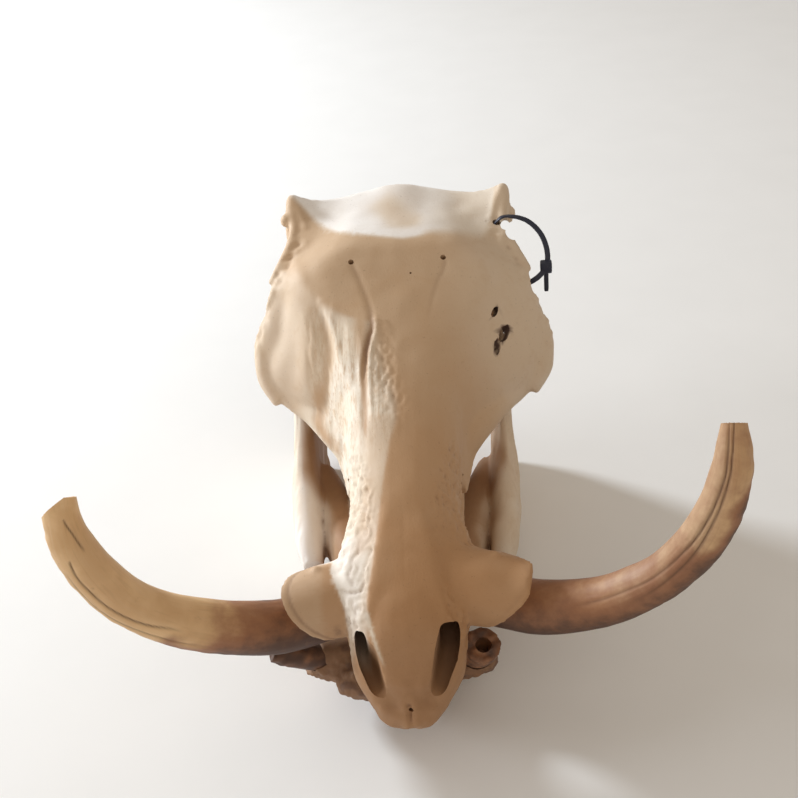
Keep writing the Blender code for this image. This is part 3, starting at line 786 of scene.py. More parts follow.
def low_relief(clay):
    """The broad swellings and troughs of the face."""
    height = 0
    for path, width, rise in LOW_RELIEF:
        height += clay.stroke(path, width, rise, UPWARD)
    for side in BOTH_SIDES:
        for path, width, rise in CREST_RELIEF:
            height += clay.stroke(mirrored(path, side), width, rise, UPWARD)
    for side in BOTH_SIDES:
        height += clay.stroke(mirrored(NARIS_FLOOR, side), 5, -2.4)
        height += clay.stroke(mirrored(BEHIND_SLEEVE, side), 6, -2.2, UPWARD)
    return height


def grooves_and_seams(clay):
    """The narrow grooves, seams and cracks of the face, and the crack round each sleeve."""
    height = 0
    for path, width, rise in FINE_RELIEF:
        height += clay.stroke(path, width, rise, UPWARD)
    height += clay.stroke(PREMAXILLA_SEAM, 1.2, -0.6)
    for crack in FLANK_CRACKS:
        height += clay.stroke(crack, 1.0, -0.8, UPWARD)
    for side, depth in ((RIGHT, 0.4), (LEFT, 0.1)):
        on_sleeve = span(clay.points[:, 1], 50, 100, 4) * ramp(side * clay.points[:, 0], 30, 38)
        outside = 1 - ramp(np.abs(clay.normals @ rim_direction(side)), 0.5, 0.8)
        height -= depth * on_sleeve * outside * rim_seam(clay.points, side)
    height += clay.stroke(NASAL_SUTURE, 1.0, -0.25, UPWARD)
    height += clay.stroke(TIP_CLEFT, 1.4, -2.2)
    return height


def rough_patches(clay):
    """Fibres, flecks, folds and knobs where the real bone is rough, and a slight unevenness all over."""
    x, y, z = clay.points.T
    fibres = fibre_zone(clay.points) * clay.facing(UPWARD, -0.2, 0.2)
    height = fibres * 0.36 * noise_at(clay.points, 2.6, fibres, (1, 0.07, 0.35))
    height += fibres * 0.4 * noise_at(clay.points, 6.5, fibres, (1, 0.1, 0.3), 7.3)
    flecks = nearness(clay.points, FLECKS, 8) * clay.facing(UPWARD)
    height += 0.75 * flecks * noise_at(clay.points, 2.9, flecks, (1, 0.6, 1), 1.2)
    tip = 1 - ramp(y, 8, 24)
    height += tip * 0.6 * noise_at(clay.points, 6, tip, seed=8.8)
    flank = span(y, 46, 165, 10) * span(z, 34, 84, 6) * ramp(np.abs(clay.normals[:, 0]), 0.35, 0.7)
    flank = flank * span(np.abs(x), 18, 42, 3)
    folds = np.abs(noise_at(clay.points, 6.5, flank, (1, 0.75, 1.2), 3.1))
    height += flank * (0.7 - 1.9 * np.clip(folds, 0, 0.7))
    height += flank * 0.4 * noise_at(clay.points, 2.8, flank, seed=9.4)
    brow = sum(nearness(clay.points, mirrored(ROUGH_BROW, side), 6) for side in BOTH_SIDES)
    height += brow * 1.3 * noise_at(clay.points, 6.5, brow, seed=2.2)
    return height + 0.22 * noise_at(clay.points, 13, seed=5.0)


def carve_cranium(obj):
    """The relief of the outer surface, the broad forms first."""
    clay = Clay(obj)
    for relief in (low_relief, grooves_and_seams, rough_patches):
        clay.push(relief(clay))


def cranium():
    """The upper skull: its parts fused, carved and then opened."""
    bm = bmesh.new()
    add_rostrum(bm)
    add_ball(bm, (-1.5, 2.4, 20.8), (3.2, 2.5, 3.2))
    add_ball(bm, (4, 2.4, 21.5), (2.6, 2.2, 2.6))
    add_plate(bm, FACE_ROWS, thickness=FACE_THICKNESS)
    add_braincase(bm)
    add_crest(bm)
    add_base(bm)
    for side in BOTH_SIDES:
        for add_part in (add_cheek_root, add_arch, add_brow, add_orbit_bar, add_condyle, add_ear_root,
                         add_sleeve, add_tooth_rim):
            add_part(bm, side)
    obj = object_of(bm, "cranium_bone")
    fuse(obj, VOXEL, 5)
    cut(obj, back_openings())
    for side in BOTH_SIDES:
        cut(obj, orbit(side))
        cut(obj, sleeve_end(side))
    fuse(obj, VOXEL, 2)
    carve_cranium(obj)
    for side in BOTH_SIDES:
        cut(obj, sleeve_end(side, 0.7))
    cut(obj, nares())
    cut(obj, small_openings())
    for hole in BROKEN_HOLES:
        cut(obj, broken_hole(*hole))
    for path in RIM_CUTS:
        cut(obj, one_rod(path, sides=24))
    for side in BOTH_SIDES:
        low, high = sorted((side * 50, side * 82))
        cut(obj, box_between((low, 304, 60), (high, 338, JOINT_LEVEL + JOINT_GAP / 2)))
        cut(obj, socket(UPPER_TUSK[side]))
    thin_out(obj, CRANIUM_TRIANGLES)
    return obj


# The lower jaw


# The flared root of each lower tusk
FLARE_ROWS = {
    RIGHT: [(18, 80, -26, 17, 18, 17), (34, 78, -21, 16, 20, 17), (50, 75, -15, 14, 18, 15),
            (60, 72, -9, 11, 13, 12)],
    LEFT: [(18, 80, -26, 17, 18, 17), (34, 77, -21, 15, 18, 16), (46, 73, -14, 12.5, 14, 14),
           (51, 70, -8, 10, 10, 10)],
}


def add_jaw_side(bm, side):
    """One half of the jaw: its body, its branch with the angle, the hinge and the tooth row's rim."""
    add_tube(bm, mirrored([
        (16, 74, -29, 13, 12, 20),
        (25, 102, -30, 12, 22, 21),
        (31, 130, -30, 12, 22, 24),
        (37, 160, -31, 14, 21, 28),
        (45, 190, -33, 16, 20, 31),
        (55, 220, -34, 15, 18, 35),
        (64, 245, -34, 12, 20, 40),
    ], side), square=0.15)
    add_tube(bm, mirrored([
        (66, 162, -30, 7, 8, 22),
        (69, 180, -26, 9.5, 14, 36),
        (71, 205, -22, 10, 18, 44),
        (72, 228, -20, 10, 26, 51),
        (72, 248, -20, 9, 44, 57),
        (72, 266, -20, 8, 66, 62),
        (72, 282, -20, 7, 86, 66.5),
        (71.5, 296, -20, 6, 92, 69),
        (71, 310, -20, 5.5, 86, 69),
        (71, 322, -20, 5, 84, 58),
        (71, 332, -20, 4, 60, 42),
    ], side), square=0.1)
    add_ball(bm, (side * 71, 200, -30), (11, 34, 18), (0, 0, -side * 5))
    add_tube(bm, mirrored([
        (54, 320, 70, 6, 10, 10),
        (63, 319, 71, 8.5, 12, 14),
        (71, 319, 72, 8.5, 12, 18),
        (76, 320, 71, 6, 11, 12),
    ], side))
    add_tube(bm, mirrored(FLARE_ROWS[side], side))
    add_tube(bm, mirrored([
        (27, 138, -14, 9, 6, 12),
        (28, 185, -14, 10, 6, 12),
        (32, 238, -14, 10.5, 6, 12),
    ], side), square=0.5)
    add_ball(bm, (side * 12, CHIN[0] + 2, CHIN[1] + 8.5), (18, 17, 10.5))
    add_ball(bm, (side * 71.5, ANGLE[0] + 12, ANGLE[1] + 6.5), (6.5, 18, 10), (-10, 0, 0))


def carve_jaw(obj):
    """Muscle lines on the outer sides of the jaw and its fine unevenness."""
    clay = Clay(obj)
    x, y, z = clay.points.T
    outer = ramp(np.abs(clay.normals[:, 0]), 0.4, 0.75) * ramp(np.abs(x - JAW_SHIFT), 62, 70)
    slant = clay.points @ np.array([[1, 0, 0], [0, 0.8, -0.6], [0, 0.6, 0.8]]).T
    height = outer * 0.9 * noise_at(slant, 4.2, outer, (0.3, 1, 0.09), 4.4)
    height += outer * 0.45 * noise_at(clay.points, 16, outer, seed=1.7)
    chin = span(y, 30, 112, 10) * ramp(-z, -2, 10)
    height += chin * 1.1 * noise_at(clay.points, 6, chin, seed=6.0)
    height += chin * 0.6 * noise_at(clay.points, 2.8, chin, seed=3.0)
    height += 0.2 * noise_at(clay.points, 12, seed=8.0)
    above_floor = ramp(z - (CHIN[1] + (y - CHIN[0]) * -math.tan(TILT)), 0.5, 4)
    clay.push(height * above_floor)


# The openings on the outer side of the jaw, as (y, radius)
JAW_FORAMINA = ((96, 2.6), (118, 1.8), (128, 1.5))


def mandible():
    """The lower jaw, with its hinge and its underside cut flat."""
    bm = bmesh.new()
    add_tube(bm, [
        (0, 28, -8, 13, 4, 5),
        (0, 44, -15, 21, 8, 9),
        (0, 64, -21, 28, 12, 18),
        (0, 88, -30, 25, 13, 20),
        (0, 110, -36, 14, 9, 13),
    ], square=0.2)
    for side in BOTH_SIDES:
        add_jaw_side(bm, side)
    add_ball(bm, (-26, 60, -17), (20, 15, 12))
    obj = object_of(bm, "mandible_bone")
    obj.data.transform(Matrix.Translation((JAW_SHIFT * MM, 0, 0)))
    fuse(obj, VOXEL, 7)
    carve_jaw(obj)
    for side in BOTH_SIDES:
        hinge = side * 68 + JAW_SHIFT
        cut(obj, box_between((hinge - 25, 298, JOINT_LEVEL - JOINT_GAP / 2), (hinge + 25, 345, 100)))
        holes = bmesh.new()
        for y, radius in JAW_FORAMINA:
            add_rod(holes, [(side * 44 + JAW_SHIFT, y - 6, -32, radius * 1.1),
                            (side * 28 + JAW_SHIFT, y + 4, -36, radius * 0.7)], steps=1, sides=16)
        cut(obj, holes)
        cut(obj, socket(LOWER_TUSK[side]))
    lay_down(obj)
    cut(obj, box_between((-150, -300, -60), (150, 300, 0)))
    thin_out(obj, JAW_TRIANGLES)
    return obj


# The tusks

# The path of each tusk from its root, as (x, y, z, radius)
UPPER_TUSK = {
    RIGHT: [
        (-38, 86, 25, 16.5), (-60, 78, 26, 17), (-81, 70, 29, 17.2), (-107, 61, 43, 16.6),
        (-134, 55, 60, 15.6), (-157.6, 52, 83.6, 14.3), (-171.5, 52, 112, 13.6), (-178.2, 54, 136, 12.3),
        (-179.6, 57, 152, 10.6), (-178.5, 59, 165, 9.6), (-176.5, 61, 178, 8.8),
    ],
    LEFT: [
        (38, 86, 34, 16.5), (60, 78, 35, 17), (83, 70, 38, 16.8), (113.6, 62, 52, 15.4),
        (134.8, 57, 70.5, 14.2), (151.6, 54, 91.3, 13.4), (165.3, 53, 119, 13.2), (173, 55, 145, 12.5),
        (176.4, 60, 167, 11), (176.6, 65, 180, 9.2), (176, 69.5, 191, 6.9), (175.6, 73, 199, 5.4),
    ],
}

# The worn ends: a point on each flat and the way that it faces
UPPER_TUSK_FLATS = {
    RIGHT: [((-177.6, 60, 164), (-0.542, 0.595, 0.587)), ((-172.5, 60, 169), (0.046, 0.73, 0.68))],
    LEFT: [((175, 65.5, 196), (0.046, 0.73, 0.68))],
}
LOWER_TUSK = {
    RIGHT: [
        (-20, 88, -25, 8.5), (-36, 82, -21, 9), (-50, 75.5, -13.5, 9), (-64, 70, -5, 8.6),
        (-79, 66, 3, 7.4), (-88, 64, 7.5, 5),
    ],
    LEFT: [
        (16, 88, -26, 8.5), (29, 80, -22, 9.5), (38.5, 73, -13, 10), (43, 68, -2, 11),
        (45, 63.8, 10, 11.6),
    ],
}

# The length of each whole upper tusk, from its root to where its point would be
TUSK_LENGTH = {RIGHT: 222.0, LEFT: 262.0}

# Each upper tusk's colours: how far along it the dark root reaches, how dark the root is, how much of
# that tinges the whole tusk, on the left tusk mostly as painted shade, and how pale the inner curve is
TUSK_TONES = {RIGHT: (0.62, 0.22, 0.06, 0.3), LEFT: (0.86, 0.12, 0.43, 1.0)}

# Lines along the upper tusks as (share of the length, degrees round it, strength)
TUSK_LINES = {
    RIGHT: [
        [(1.02, -112, 0.5), (1.0, -118, 1), (0.965, -130, 1), (0.92, -140, 0.8), (0.9, -142, 0)],
        [(0.9, -96, 0), (0.886, -92, 1), (0.842, -87, 1), (0.785, -90, 1), (0.735, -93, 1),
         (0.672, -102, 1), (0.6, -111, 1), (0.548, -122, 0.6), (0.5, -126, 0)],
        [(0.87, -66, 0), (0.8, -60, 0.8), (0.74, -60, 0.9), (0.672, -72, 0.8), (0.563, -88, 0.7),
         (0.46, -95, 0.3), (0.4, -96, 0)],
    ],
    LEFT: [
        [(0.985, -80, 0), (0.948, -79, 0.8), (0.872, -72, 1), (0.806, -66, 1), (0.72, -61, 1),
         (0.629, -61, 0.9), (0.537, -59, 0.8), (0.483, -61, 0.5), (0.4, -62, 0)],
        [(0.967, -54, 0), (0.914, -58, 0.8), (0.855, -57, 1), (0.786, -50, 1), (0.702, -44, 1),
         (0.603, -37, 0.8), (0.51, -34, 0.6), (0.434, -31, 0.5), (0.342, -30, 0.5), (0.267, -36, 0)],
    ],
}


def turn_apart(a, b):
    """The angle between two turns, in degrees."""
    return np.abs((a - b + 180) % 360 - 180)


def line_nearness(share, turn, line, width, girth):
    """How close points of a tusk, given by share and turn, are to a line along it."""
    line = smooth_rows(line, 6)
    order = np.argsort(line[:, 0])
    middle = np.interp(share, line[order, 0], line[order, 1])
    strength = np.interp(share, line[order, 0], line[order, 2], left=0, right=0)
    away = turn_apart(turn, middle) * girth
    return strength * np.exp(-((away / width) ** 2))


def read_layer(obj, name):
    values = np.empty(len(obj.data.vertices), np.float32)
    obj.data.attributes[name].data.foreach_get("value", values)
    return values.astype(float)


def write_layers(obj, **layers):
    """Keeps named values from 0 to 1 at the points of a piece, for its finish to read."""
    for name, values in layers.items():
        layer = obj.data.attributes.new(name, "FLOAT", "POINT")
        layer.data.foreach_set("value", np.clip(values, 0, 1).astype(np.float32))


def tusk(name, rows, steps, sides, flats=()):
    """A plain tusk that keeps how far along and how far round it each point lies."""
    bm = bmesh.new()
    layers = [bm.verts.layers.float.new(word) for word in ("reach", "turn")]
    add_rod(bm, rows, up=(0, 1, 0), steps=steps, sides=sides, layers=layers)
    for at, way in flats:
        whole = list(bm.verts) + list(bm.edges) + list(bm.faces)
        bmesh.ops.bisect_plane(bm, geom=whole, plane_co=Vector(at) * MM, plane_no=way, clear_outer=True)
        bmesh.ops.holes_fill(bm, edges=[e for e in bm.edges if e.is_boundary], sides=0)
    return object_of(bm, name)


def along_streaks(share, turn, length, fineness, seed):
    """Streaks that run along a tusk, from 0 to 1."""
    around = np.radians(turn)
    places = np.stack([np.cos(around), np.sin(around), share * length / 180], 1) * fineness
    return 0.5 + 0.5 * noise_at(places, 1.0, seed=seed)


def upper_tusk(side):
    """An upper tusk with its grooves, worn end and the stains at its root."""
    obj = tusk("upper_tusk_ivory_" + SIDE_NAMES[side], UPPER_TUSK[side], 22, 96, UPPER_TUSK_FLATS[side])
    reach, turn = read_layer(obj, "reach"), read_layer(obj, "turn")
    length = TUSK_LENGTH[side]
    share = reach / length
    clay = Clay(obj)
    girth = math.radians(1) * UPPER_TUSK[side][4][3]
    lines, wide = (sum(line_nearness(share, turn, line, width, girth) for line in TUSK_LINES[side])
                   for width in (0.8, 3.5))
    streak = 0.5 * (along_streaks(share, turn, length, 8, side * 3.0)
                    + along_streaks(share, turn, length, 17, side * 5.0))
    inner = 0 if side == LEFT else 180
    height = 0.3 * streak - 0.7 * lines - 0.3 * wide - 0.35
    height += 0.25 * noise_at(clay.points, 20, seed=4.0)
    outer = ramp(turn_apart(turn, inner), 100, 140) * span(share, 0.3, 0.96, 0.04)
    height += outer * 0.35 * noise_at(clay.points, 6, outer, seed=5.5)
    inside = ramp(0.12 - share, -0.04, 0.04)
    clay.push(height * (1 - inside) - 0.25 * inside)
    dark_reach, dark, tinge, paleness = TUSK_TONES[side]
    facing_in = 0.5 + 0.5 * np.cos(np.radians(turn - inner))
    pale = span(share, 0.45, 0.9, 0.12) * (0.35 + 0.65 * ramp(facing_in, 0.5, 0.95)) * paleness
    low = dark_reach + noise_at(clay.points, 16, seed=9.0) * 0.06 - 0.12 * facing_in
    root = (1 - ramp(share, low - 0.2, low + 0.12)) * (0.55 + 0.5 * (1 - facing_in))
    root = root + dark * (1 - ramp(share, 0.2, 0.42))
    # The whole tusk darkened by the root's tone, on the left tusk mostly as painted shade
    root = np.maximum(root, tinge + 0.14 * ramp(share, 0.88, 1.0))
    write_layers(obj, line=lines, streak=streak, pale=pale, root=root)
    lay_down(obj)
    return obj


def lower_tusk(side):
    """The stained root of a lower tusk, broken off. The left one is short and open at its end."""
    obj = tusk("lower_tusk_ivory_" + SIDE_NAMES[side], LOWER_TUSK[side], 20, 64)
    fuse(obj, TUSK_VOXEL, 1)
    clay = Clay(obj)
    end = Vector(LOWER_TUSK[side][-1][:3])
    broken = 1 - ramp(np.linalg.norm(clay.points - np.array(end), axis=1), 10, 15)
    height = 0.35 * noise_at(clay.points, 5, seed=2.0, stretch=(0.4, 1, 1))
    height += 0.3 * noise_at(clay.points, 14, seed=6.0)
    chips = 1.1 if side == LEFT else 0.5
    height += broken * (chips * noise_at(clay.points, 4.5, broken, seed=3.7) - 0.3)
    clay.push(height - 0.35)
    if side == LEFT:
        hollow_out(obj, end)
    points = Clay(obj).points
    none = np.zeros(len(points))
    streak = 0.5 + 0.5 * noise_at(points, 2.5, seed=7.0, stretch=(0.2, 1, 1))
    shade = 0.78 if side == LEFT else 0.92
    root = shade + 0.15 * noise_at(points, 7, seed=1.0)
    write_layers(obj, line=none, streak=streak, pale=none, root=root)
    lay_down(obj)
    return obj


def hollow_out(obj, end):
    """Opens the pulp cavity in the broken end of the tusk."""
    x, y, z = end
    cut(obj, one_rod([(x - 1, y + 4, z - 16, 2.6), (x - 1, y + 3, z - 8, 4.2), (x, y + 1, z - 3, 4.9),
                      (x, y - 2, z + 6, 5.6)], up=(0, 1, 0), sides=32))


# The cheek teeth and the incisors


def add_column(bm, x, y, base, top, radius, worn):
    """One column of a cheek tooth, which narrows towards its upper end."""
    rows = [(x, y, base, radius), (x, y, base + (top - base) * 0.6, radius * 0.97),
            (x, y, top - worn * 0.7, radius * 0.86), (x, y, top, radius * 0.6)]
    add_rod(bm, rows, up=(0, 1, 0), steps=1, sides=10)


# The front cheek teeth as (y, length, half width), and the last one's rows of columns, each column as
# (how far across, how far behind, radius)
SINGLE_TEETH = ((143, 8, 4.5), (155, 11, 5.6), (170, 15, 6.6))
LAST_TOOTH_COLUMNS = 9
COLUMNS_ACROSS = ((-4.6, 0, 3.1), (0.3, 1.6, 2.6), (4.8, 0, 3.1))


def cheek_teeth(name, side, shift, base, crown):
    """A row of cheek teeth, the last one long and made of many columns."""
    worn = 1 if crown > base else -1
    bm = bmesh.new()
    for y, length, half_width in SINGLE_TEETH:
        x = side * 28 + shift
        add_tube(bm, [
            (x, y, base, half_width * 0.9, length / 2, length / 2),
            (x, y, (base + crown) / 2, half_width, length / 2, length / 2),
            (x, y, crown - worn * 0.8, half_width * 0.94, length * 0.47, length * 0.47),
            (x, y, crown, half_width * 0.8, length * 0.42, length * 0.42),
        ], up=(0, 1, 0), square=0.35, sides=28)
    for i in range(LAST_TOOTH_COLUMNS):
        y = 182 + i * 5.6
        x = side * (28.5 + i * 0.25) + shift
        shrink = 1 - 0.035 * max(i - 4, 0)
        for across, behind, radius in COLUMNS_ACROSS:
            add_column(bm, x + across * shrink, y + behind, *sorted((base, crown)), radius * shrink, worn)
    obj = object_of(bm, name)
    fuse(obj, TOOTH_VOXEL, 2)
    thin_out(obj, TOOTH_ROW_TRIANGLES)
    lay_down(obj)
    return obj


# The incisors of one side, as (how far across, y of the tip, y of the root, radius)
INCISORS = ((3.6, 15, 44, 3.1), (9.6, 18, 46, 3.0), (15, 27, 48, 2.2))


def incisors():
    """The six front teeth of the lower jaw, which lie forward like pegs."""
    bm = bmesh.new()
    for side in BOTH_SIDES:
        for across, tip, root, radius in INCISORS:
            x = side * across + JAW_SHIFT
            add_tube(bm, [
                (x, root, -11, radius * 0.8, radius, radius),
                (x, (root + tip) / 2, -3.4, radius, radius, radius),
                (x, tip + 3, 1.2, radius * 0.92, radius * 0.7, radius * 0.8),
                (x, tip, 2.2, radius * 0.7, radius * 0.35, radius * 0.4),
            ], sides=20)
    obj = object_of(bm, "lower_incisors")
    lay_down(obj)
    return obj


# The cable tie

# The strap's loop, through the rim of the left orbit and round it, with its head at one of the points
STRAP_LOOP = [
    (63, 339, 114), (71, 333.5, 132.8), (80, 337, 131.8), (91, 336, 128), (99.5, 327.5, 123),
    (103.3, 317, 116), (102, 308, 109), (94, 301, 104), (83, 302, 99), (72, 310, 98), (63, 324, 103),
]
STRAP_HALF_WIDTH = 1.9
STRAP_THICKNESS = 1.4
STRAP_TWIST = 50.0
HEAD_AT = Vector(STRAP_LOOP[6])
TAIL_HANGS = Vector((0.02, -0.2, -0.98)).normalized()


def cable_tie():
    """The strap's loop, its head and the loose end, as three pieces."""
    loop = [Vector(p) for p in smooth_rows(STRAP_LOOP[-2:] + STRAP_LOOP + STRAP_LOOP[:3], 12)[24:-24]]
    middle = sum(loop, Vector()) / len(loop)
    flat = (loop[0] - middle).cross(loop[len(loop) // 4] - middle).normalized()
    half = STRAP_THICKNESS / 2
    strap = bmesh.new()
    add_tube(strap, [(*p, half, STRAP_HALF_WIDTH, STRAP_HALF_WIDTH) for p in loop],
             up=flat, sides=16, steps=1, square=0.5, twist=STRAP_TWIST)
    head = bmesh.new()
    add_tube(head, [
        (*(HEAD_AT - TAIL_HANGS * 4.0), 3.4, 2.4, 2.4),
        (*(HEAD_AT - TAIL_HANGS * 3.2), 4.0, 3.0, 3.0),
        (*(HEAD_AT + TAIL_HANGS * 3.2), 4.0, 3.0, 3.0),
        (*(HEAD_AT + TAIL_HANGS * 4.0), 3.4, 2.4, 2.4),
    ], up=(0, 1, 0), sides=24, steps=2, square=0.7)
    tail = bmesh.new()
    add_tube(tail, [
        (*HEAD_AT, 1.6, 0.7, 0.7),
        (*(HEAD_AT + TAIL_HANGS * 17), 1.6, 0.7, 0.7),
        (*(HEAD_AT + TAIL_HANGS * 19), 1.1, 0.6, 0.6),
    ], up=(0, 1, 0), sides=12, steps=2, square=0.6)
    pieces = []
    for name, bm in (("tie_strap", strap), ("tie_head", head), ("tie_tail", tail)):
        obj = object_of(bm, name)
        lay_down(obj)
        pieces.append(obj)
    return pieces


# Finishes


class Value:
    """A shader socket that adds, takes away and multiplies like a number."""

    def __init__(self, finish, socket):
        self.finish = finish
        self.socket = socket

    def combine(self, operation, first, second):
        made = self.finish.node("ShaderNodeMath", {"operation": operation}, {0: first, 1: second})
        return Value(self.finish, made.outputs[0])

    def __add__(self, other):
        return self.combine("ADD", self, other)

    def __radd__(self, other):
        return self.combine("ADD", other, self)

    def __sub__(self, other):
        return self.combine("SUBTRACT", self, other)

    def __rsub__(self, other):
        return self.combine("SUBTRACT", other, self)

    def __mul__(self, other):
        return self.combine("MULTIPLY", self, other)

    def __rmul__(self, other):
        return self.combine("MULTIPLY", other, self)


class Finish:
    """A material built from nodes on one Principled shader."""

    def __init__(self, name, **constants):
        self.material = bpy.data.materials.new(name)
        self.material.use_nodes = True
        self.tree = self.material.node_tree
        self.shader = self.tree.nodes["Principled BSDF"]
        for socket, value in constants.items():
            self.shader.inputs[socket.replace("_", " ")].default_value = value
        self.place = self.node("ShaderNodeTexCoord").outputs["Object"]

    def node(self, kind, settings=None, inputs=None):
        """One node with its settings first and then the values or links of its sockets."""
        made = self.tree.nodes.new(kind)
        for name, value in (settings or {}).items():
            setattr(made, name, value)
        for key, value in (inputs or {}).items():
            self.feed(made.inputs[key], value)
        return made

    def feed(self, socket, value):
        if isinstance(value, Value):
            value = value.socket
        if isinstance(value, bpy.types.NodeSocket):
            self.tree.links.new(value, socket)
        elif socket.type == "RGBA" and len(value) == 3:
            socket.default_value = (*value, 1)
        else:
            socket.default_value = value

    def layers(self, *names):
        """The values that the piece keeps at its points under these names."""
        return [Value(self, self.node("ShaderNodeAttribute", {"attribute_name": name}).outputs["Fac"])
                for name in names]

    def noise(self, size, detail, roughness, stretch=None, warp=0.0):
        """Noise from 0 to 1 with features of this size in millimetres."""
        place = self.place
        if stretch is not None:
            made = self.node("ShaderNodeMapping", None, {"Vector": place, "Scale": stretch})
            place = made.outputs["Vector"]
        made = self.node("ShaderNodeTexNoise", None, {
            "Vector": place, "Scale": 1 / (size * MM), "Detail": detail, "Roughness": roughness,
            "Distortion": warp,
        })
        return Value(self, made.outputs["Fac"])

    def between(self, value, low, high):
        """0 where the value is at low or below, 1 at high or above."""
        made = self.node("ShaderNodeMapRange", {"interpolation_type": "SMOOTHSTEP"}, {
            "Value": value, "From Min": low, "From Max": high, "To Min": 0.0, "To Max": 1.0,
        })
        return Value(self, made.outputs["Result"])

    def mix(self, share, first, second):
        inputs = {0: share, 6: first, 7: second}
        return self.node("ShaderNodeMix", {"data_type": "RGBA"}, inputs).outputs[2]

    def bump(self, height, distance, strength):
        inputs = {"Height": height, "Distance": distance * MM, "Strength": strength}
        return self.node("ShaderNodeBump", None, inputs).outputs["Normal"]

    def use(self, colour, roughness, normal):
        """Feeds the shader and gives the finished material."""
        for name, value in (("Base Color", colour), ("Roughness", roughness), ("Normal", normal)):
            self.feed(self.shader.inputs[name], value)
        return self.material


# Colours of the bone
CREAM = (0.76, 0.66, 0.53)
PALE = (0.82, 0.75, 0.65)
CHALK = (0.93, 0.90, 0.89)
TAN = (0.56, 0.38, 0.23)
UMBER = (0.22, 0.12, 0.07)
SOIL = (0.07, 0.035, 0.022)
SHADE = (0.095, 0.05, 0.042)
RUST = (0.46, 0.25, 0.115)


def bone_finish(name):
    """Dry bone: cream, tan on the face as patina and as painted shade, painted near-white where it is lit,
    dark in its hollows, finely grained.
    """
    finish = Finish(name, Specular_IOR_Level=0.35)
    warm, hollow, stain, brown, fibre, deep, bleached = finish.layers(
        "warm", "hollow", "stain", "brown", "fibre", "deep", "bleached")
    clouds = finish.noise(38, 5, 0.55, warp=0.6)
    patches = finish.noise(9, 6, 0.6, warp=1.0)
    streaks = finish.noise(1.4, 4, 0.6, stretch=(1, 0.09, 0.3))
    specks = finish.between(finish.noise(1.6, 3, 0.6), 0.64, 0.74)
    colour = finish.mix(finish.between(clouds, 0.35, 0.68), CREAM, PALE)
    colour = finish.mix(finish.between(patches, 0.5, 0.72) * 0.22, colour, TAN)
    # Painted light: near-white where the key light falls
    colour = finish.mix(bleached * (0.6 + 0.5 * clouds), colour, CHALK)
    # Tan over the face and jaw: partly patina, mostly painted shade where they turn from the key light
    colour = finish.mix(warm * (0.7 + 0.4 * clouds), colour, TAN)
    # Brown towards the snout's tip, on the sleeves and under the cheek: stains and painted shade
    colour = finish.mix(brown * (0.75 + 0.4 * clouds), colour, RUST)
    colour = finish.mix(fibre * finish.between(streaks, 0.46, 0.66) * 0.65, colour, TAN)
    # Stains, and painted shade on the inside of the jaw and under the sleeves
    colour = finish.mix(stain * (0.6 + 0.5 * patches), colour, UMBER)
    # Hollows: gathered grime in the narrow ones, painted shade in the wide ones
    colour = finish.mix(hollow * 0.75, colour, UMBER)
    colour = finish.mix(specks * 0.28, colour, SOIL)
    # Painted shade inside the openings, and dark blots on the front of the jaw
    colour = finish.mix(deep, colour, SHADE)
    fine = finish.noise(0.9, 4, 0.6, stretch=(1, 0.35, 1))
    pores = finish.noise(2.4, 3, 0.5)
    rough = 0.5 + 0.2 * patches + 0.12 * fine
    relief = fine + 0.8 * pores + 2.5 * fibre * streaks
    normal = finish.bump(relief, 0.16, 0.55)
    return finish.use(colour, rough, normal)


# Colours of the tusks
HONEY = (0.65, 0.40, 0.19)
AMBER = (0.77, 0.51, 0.265)
PALE_STREAK = (0.68, 0.48, 0.28)
DARK_STREAK = (0.30, 0.16, 0.07)
INNER_CURVE = (0.50, 0.36, 0.245)
BROWN_ROOT = (0.27, 0.108, 0.05)
BLACK_ROOT = (0.05, 0.027, 0.022)
BLOT = (0.26, 0.125, 0.06)
DARK_LINE = (0.10, 0.05, 0.027)


def ivory_finish(name):
    """Tusk: honey brown, dark at the root, with dark lines and fine streaks along it."""
    finish = Finish(name, Specular_IOR_Level=0.45)
    line, root, pale, streak = finish.layers("line", "root", "pale", "streak")
    clouds = finish.noise(26, 4, 0.5)
    blots = finish.noise(9, 4, 0.6)
    fine = finish.noise(1.6, 4, 0.6)
    colour = finish.mix(finish.between(clouds, 0.35, 0.65), HONEY, AMBER)
    colour = finish.mix(finish.between(streak, 0.5, 0.8) * 0.2, colour, PALE_STREAK)
    colour = finish.mix(finish.between(0 - streak, -0.45, -0.2) * 0.14, colour, DARK_STREAK)
    colour = finish.mix(pale * 0.6, colour, INNER_CURVE)
    colour = finish.mix(finish.between(root + 0.35 * blots, 0.42, 0.88) * 0.9, colour, BROWN_ROOT)
    colour = finish.mix(finish.between(root + 0.4 * blots, 0.85, 1.2) * 0.85, colour, BLACK_ROOT)
    colour = finish.mix(finish.between(blots, 0.66, 0.78) * 0.35, colour, BLOT)
    colour = finish.mix(line * 0.8, colour, DARK_LINE)
    rough = 0.5 + 0.15 * clouds + 0.15 * line
    normal = finish.bump(fine + streak, 0.14, 0.5)
    return finish.use(colour, rough, normal)


# Colours of the teeth and of the cable tie
CEMENT = (0.42, 0.27, 0.14)
ENAMEL = (0.74, 0.62, 0.45)
TOOTH_DIRT = (0.12, 0.06, 0.03)
DARK_NYLON = (0.012, 0.015, 0.034)
WORN_NYLON = (0.024, 0.03, 0.06)


def tooth_finish():
    """Cheek teeth: yellowed enamel over brown cement."""
    finish = Finish("tooth_enamel", Specular_IOR_Level=0.5)
    clouds = finish.noise(6, 4, 0.6, warp=0.8)
    fine = finish.noise(0.8, 3, 0.6)
    colour = finish.mix(finish.between(clouds, 0.35, 0.65), CEMENT, ENAMEL)
    colour = finish.mix(finish.between(fine, 0.6, 0.72) * 0.5, colour, TOOTH_DIRT)
    return finish.use(colour, 0.3 + 0.25 * clouds, finish.bump(fine, 0.1, 0.5))


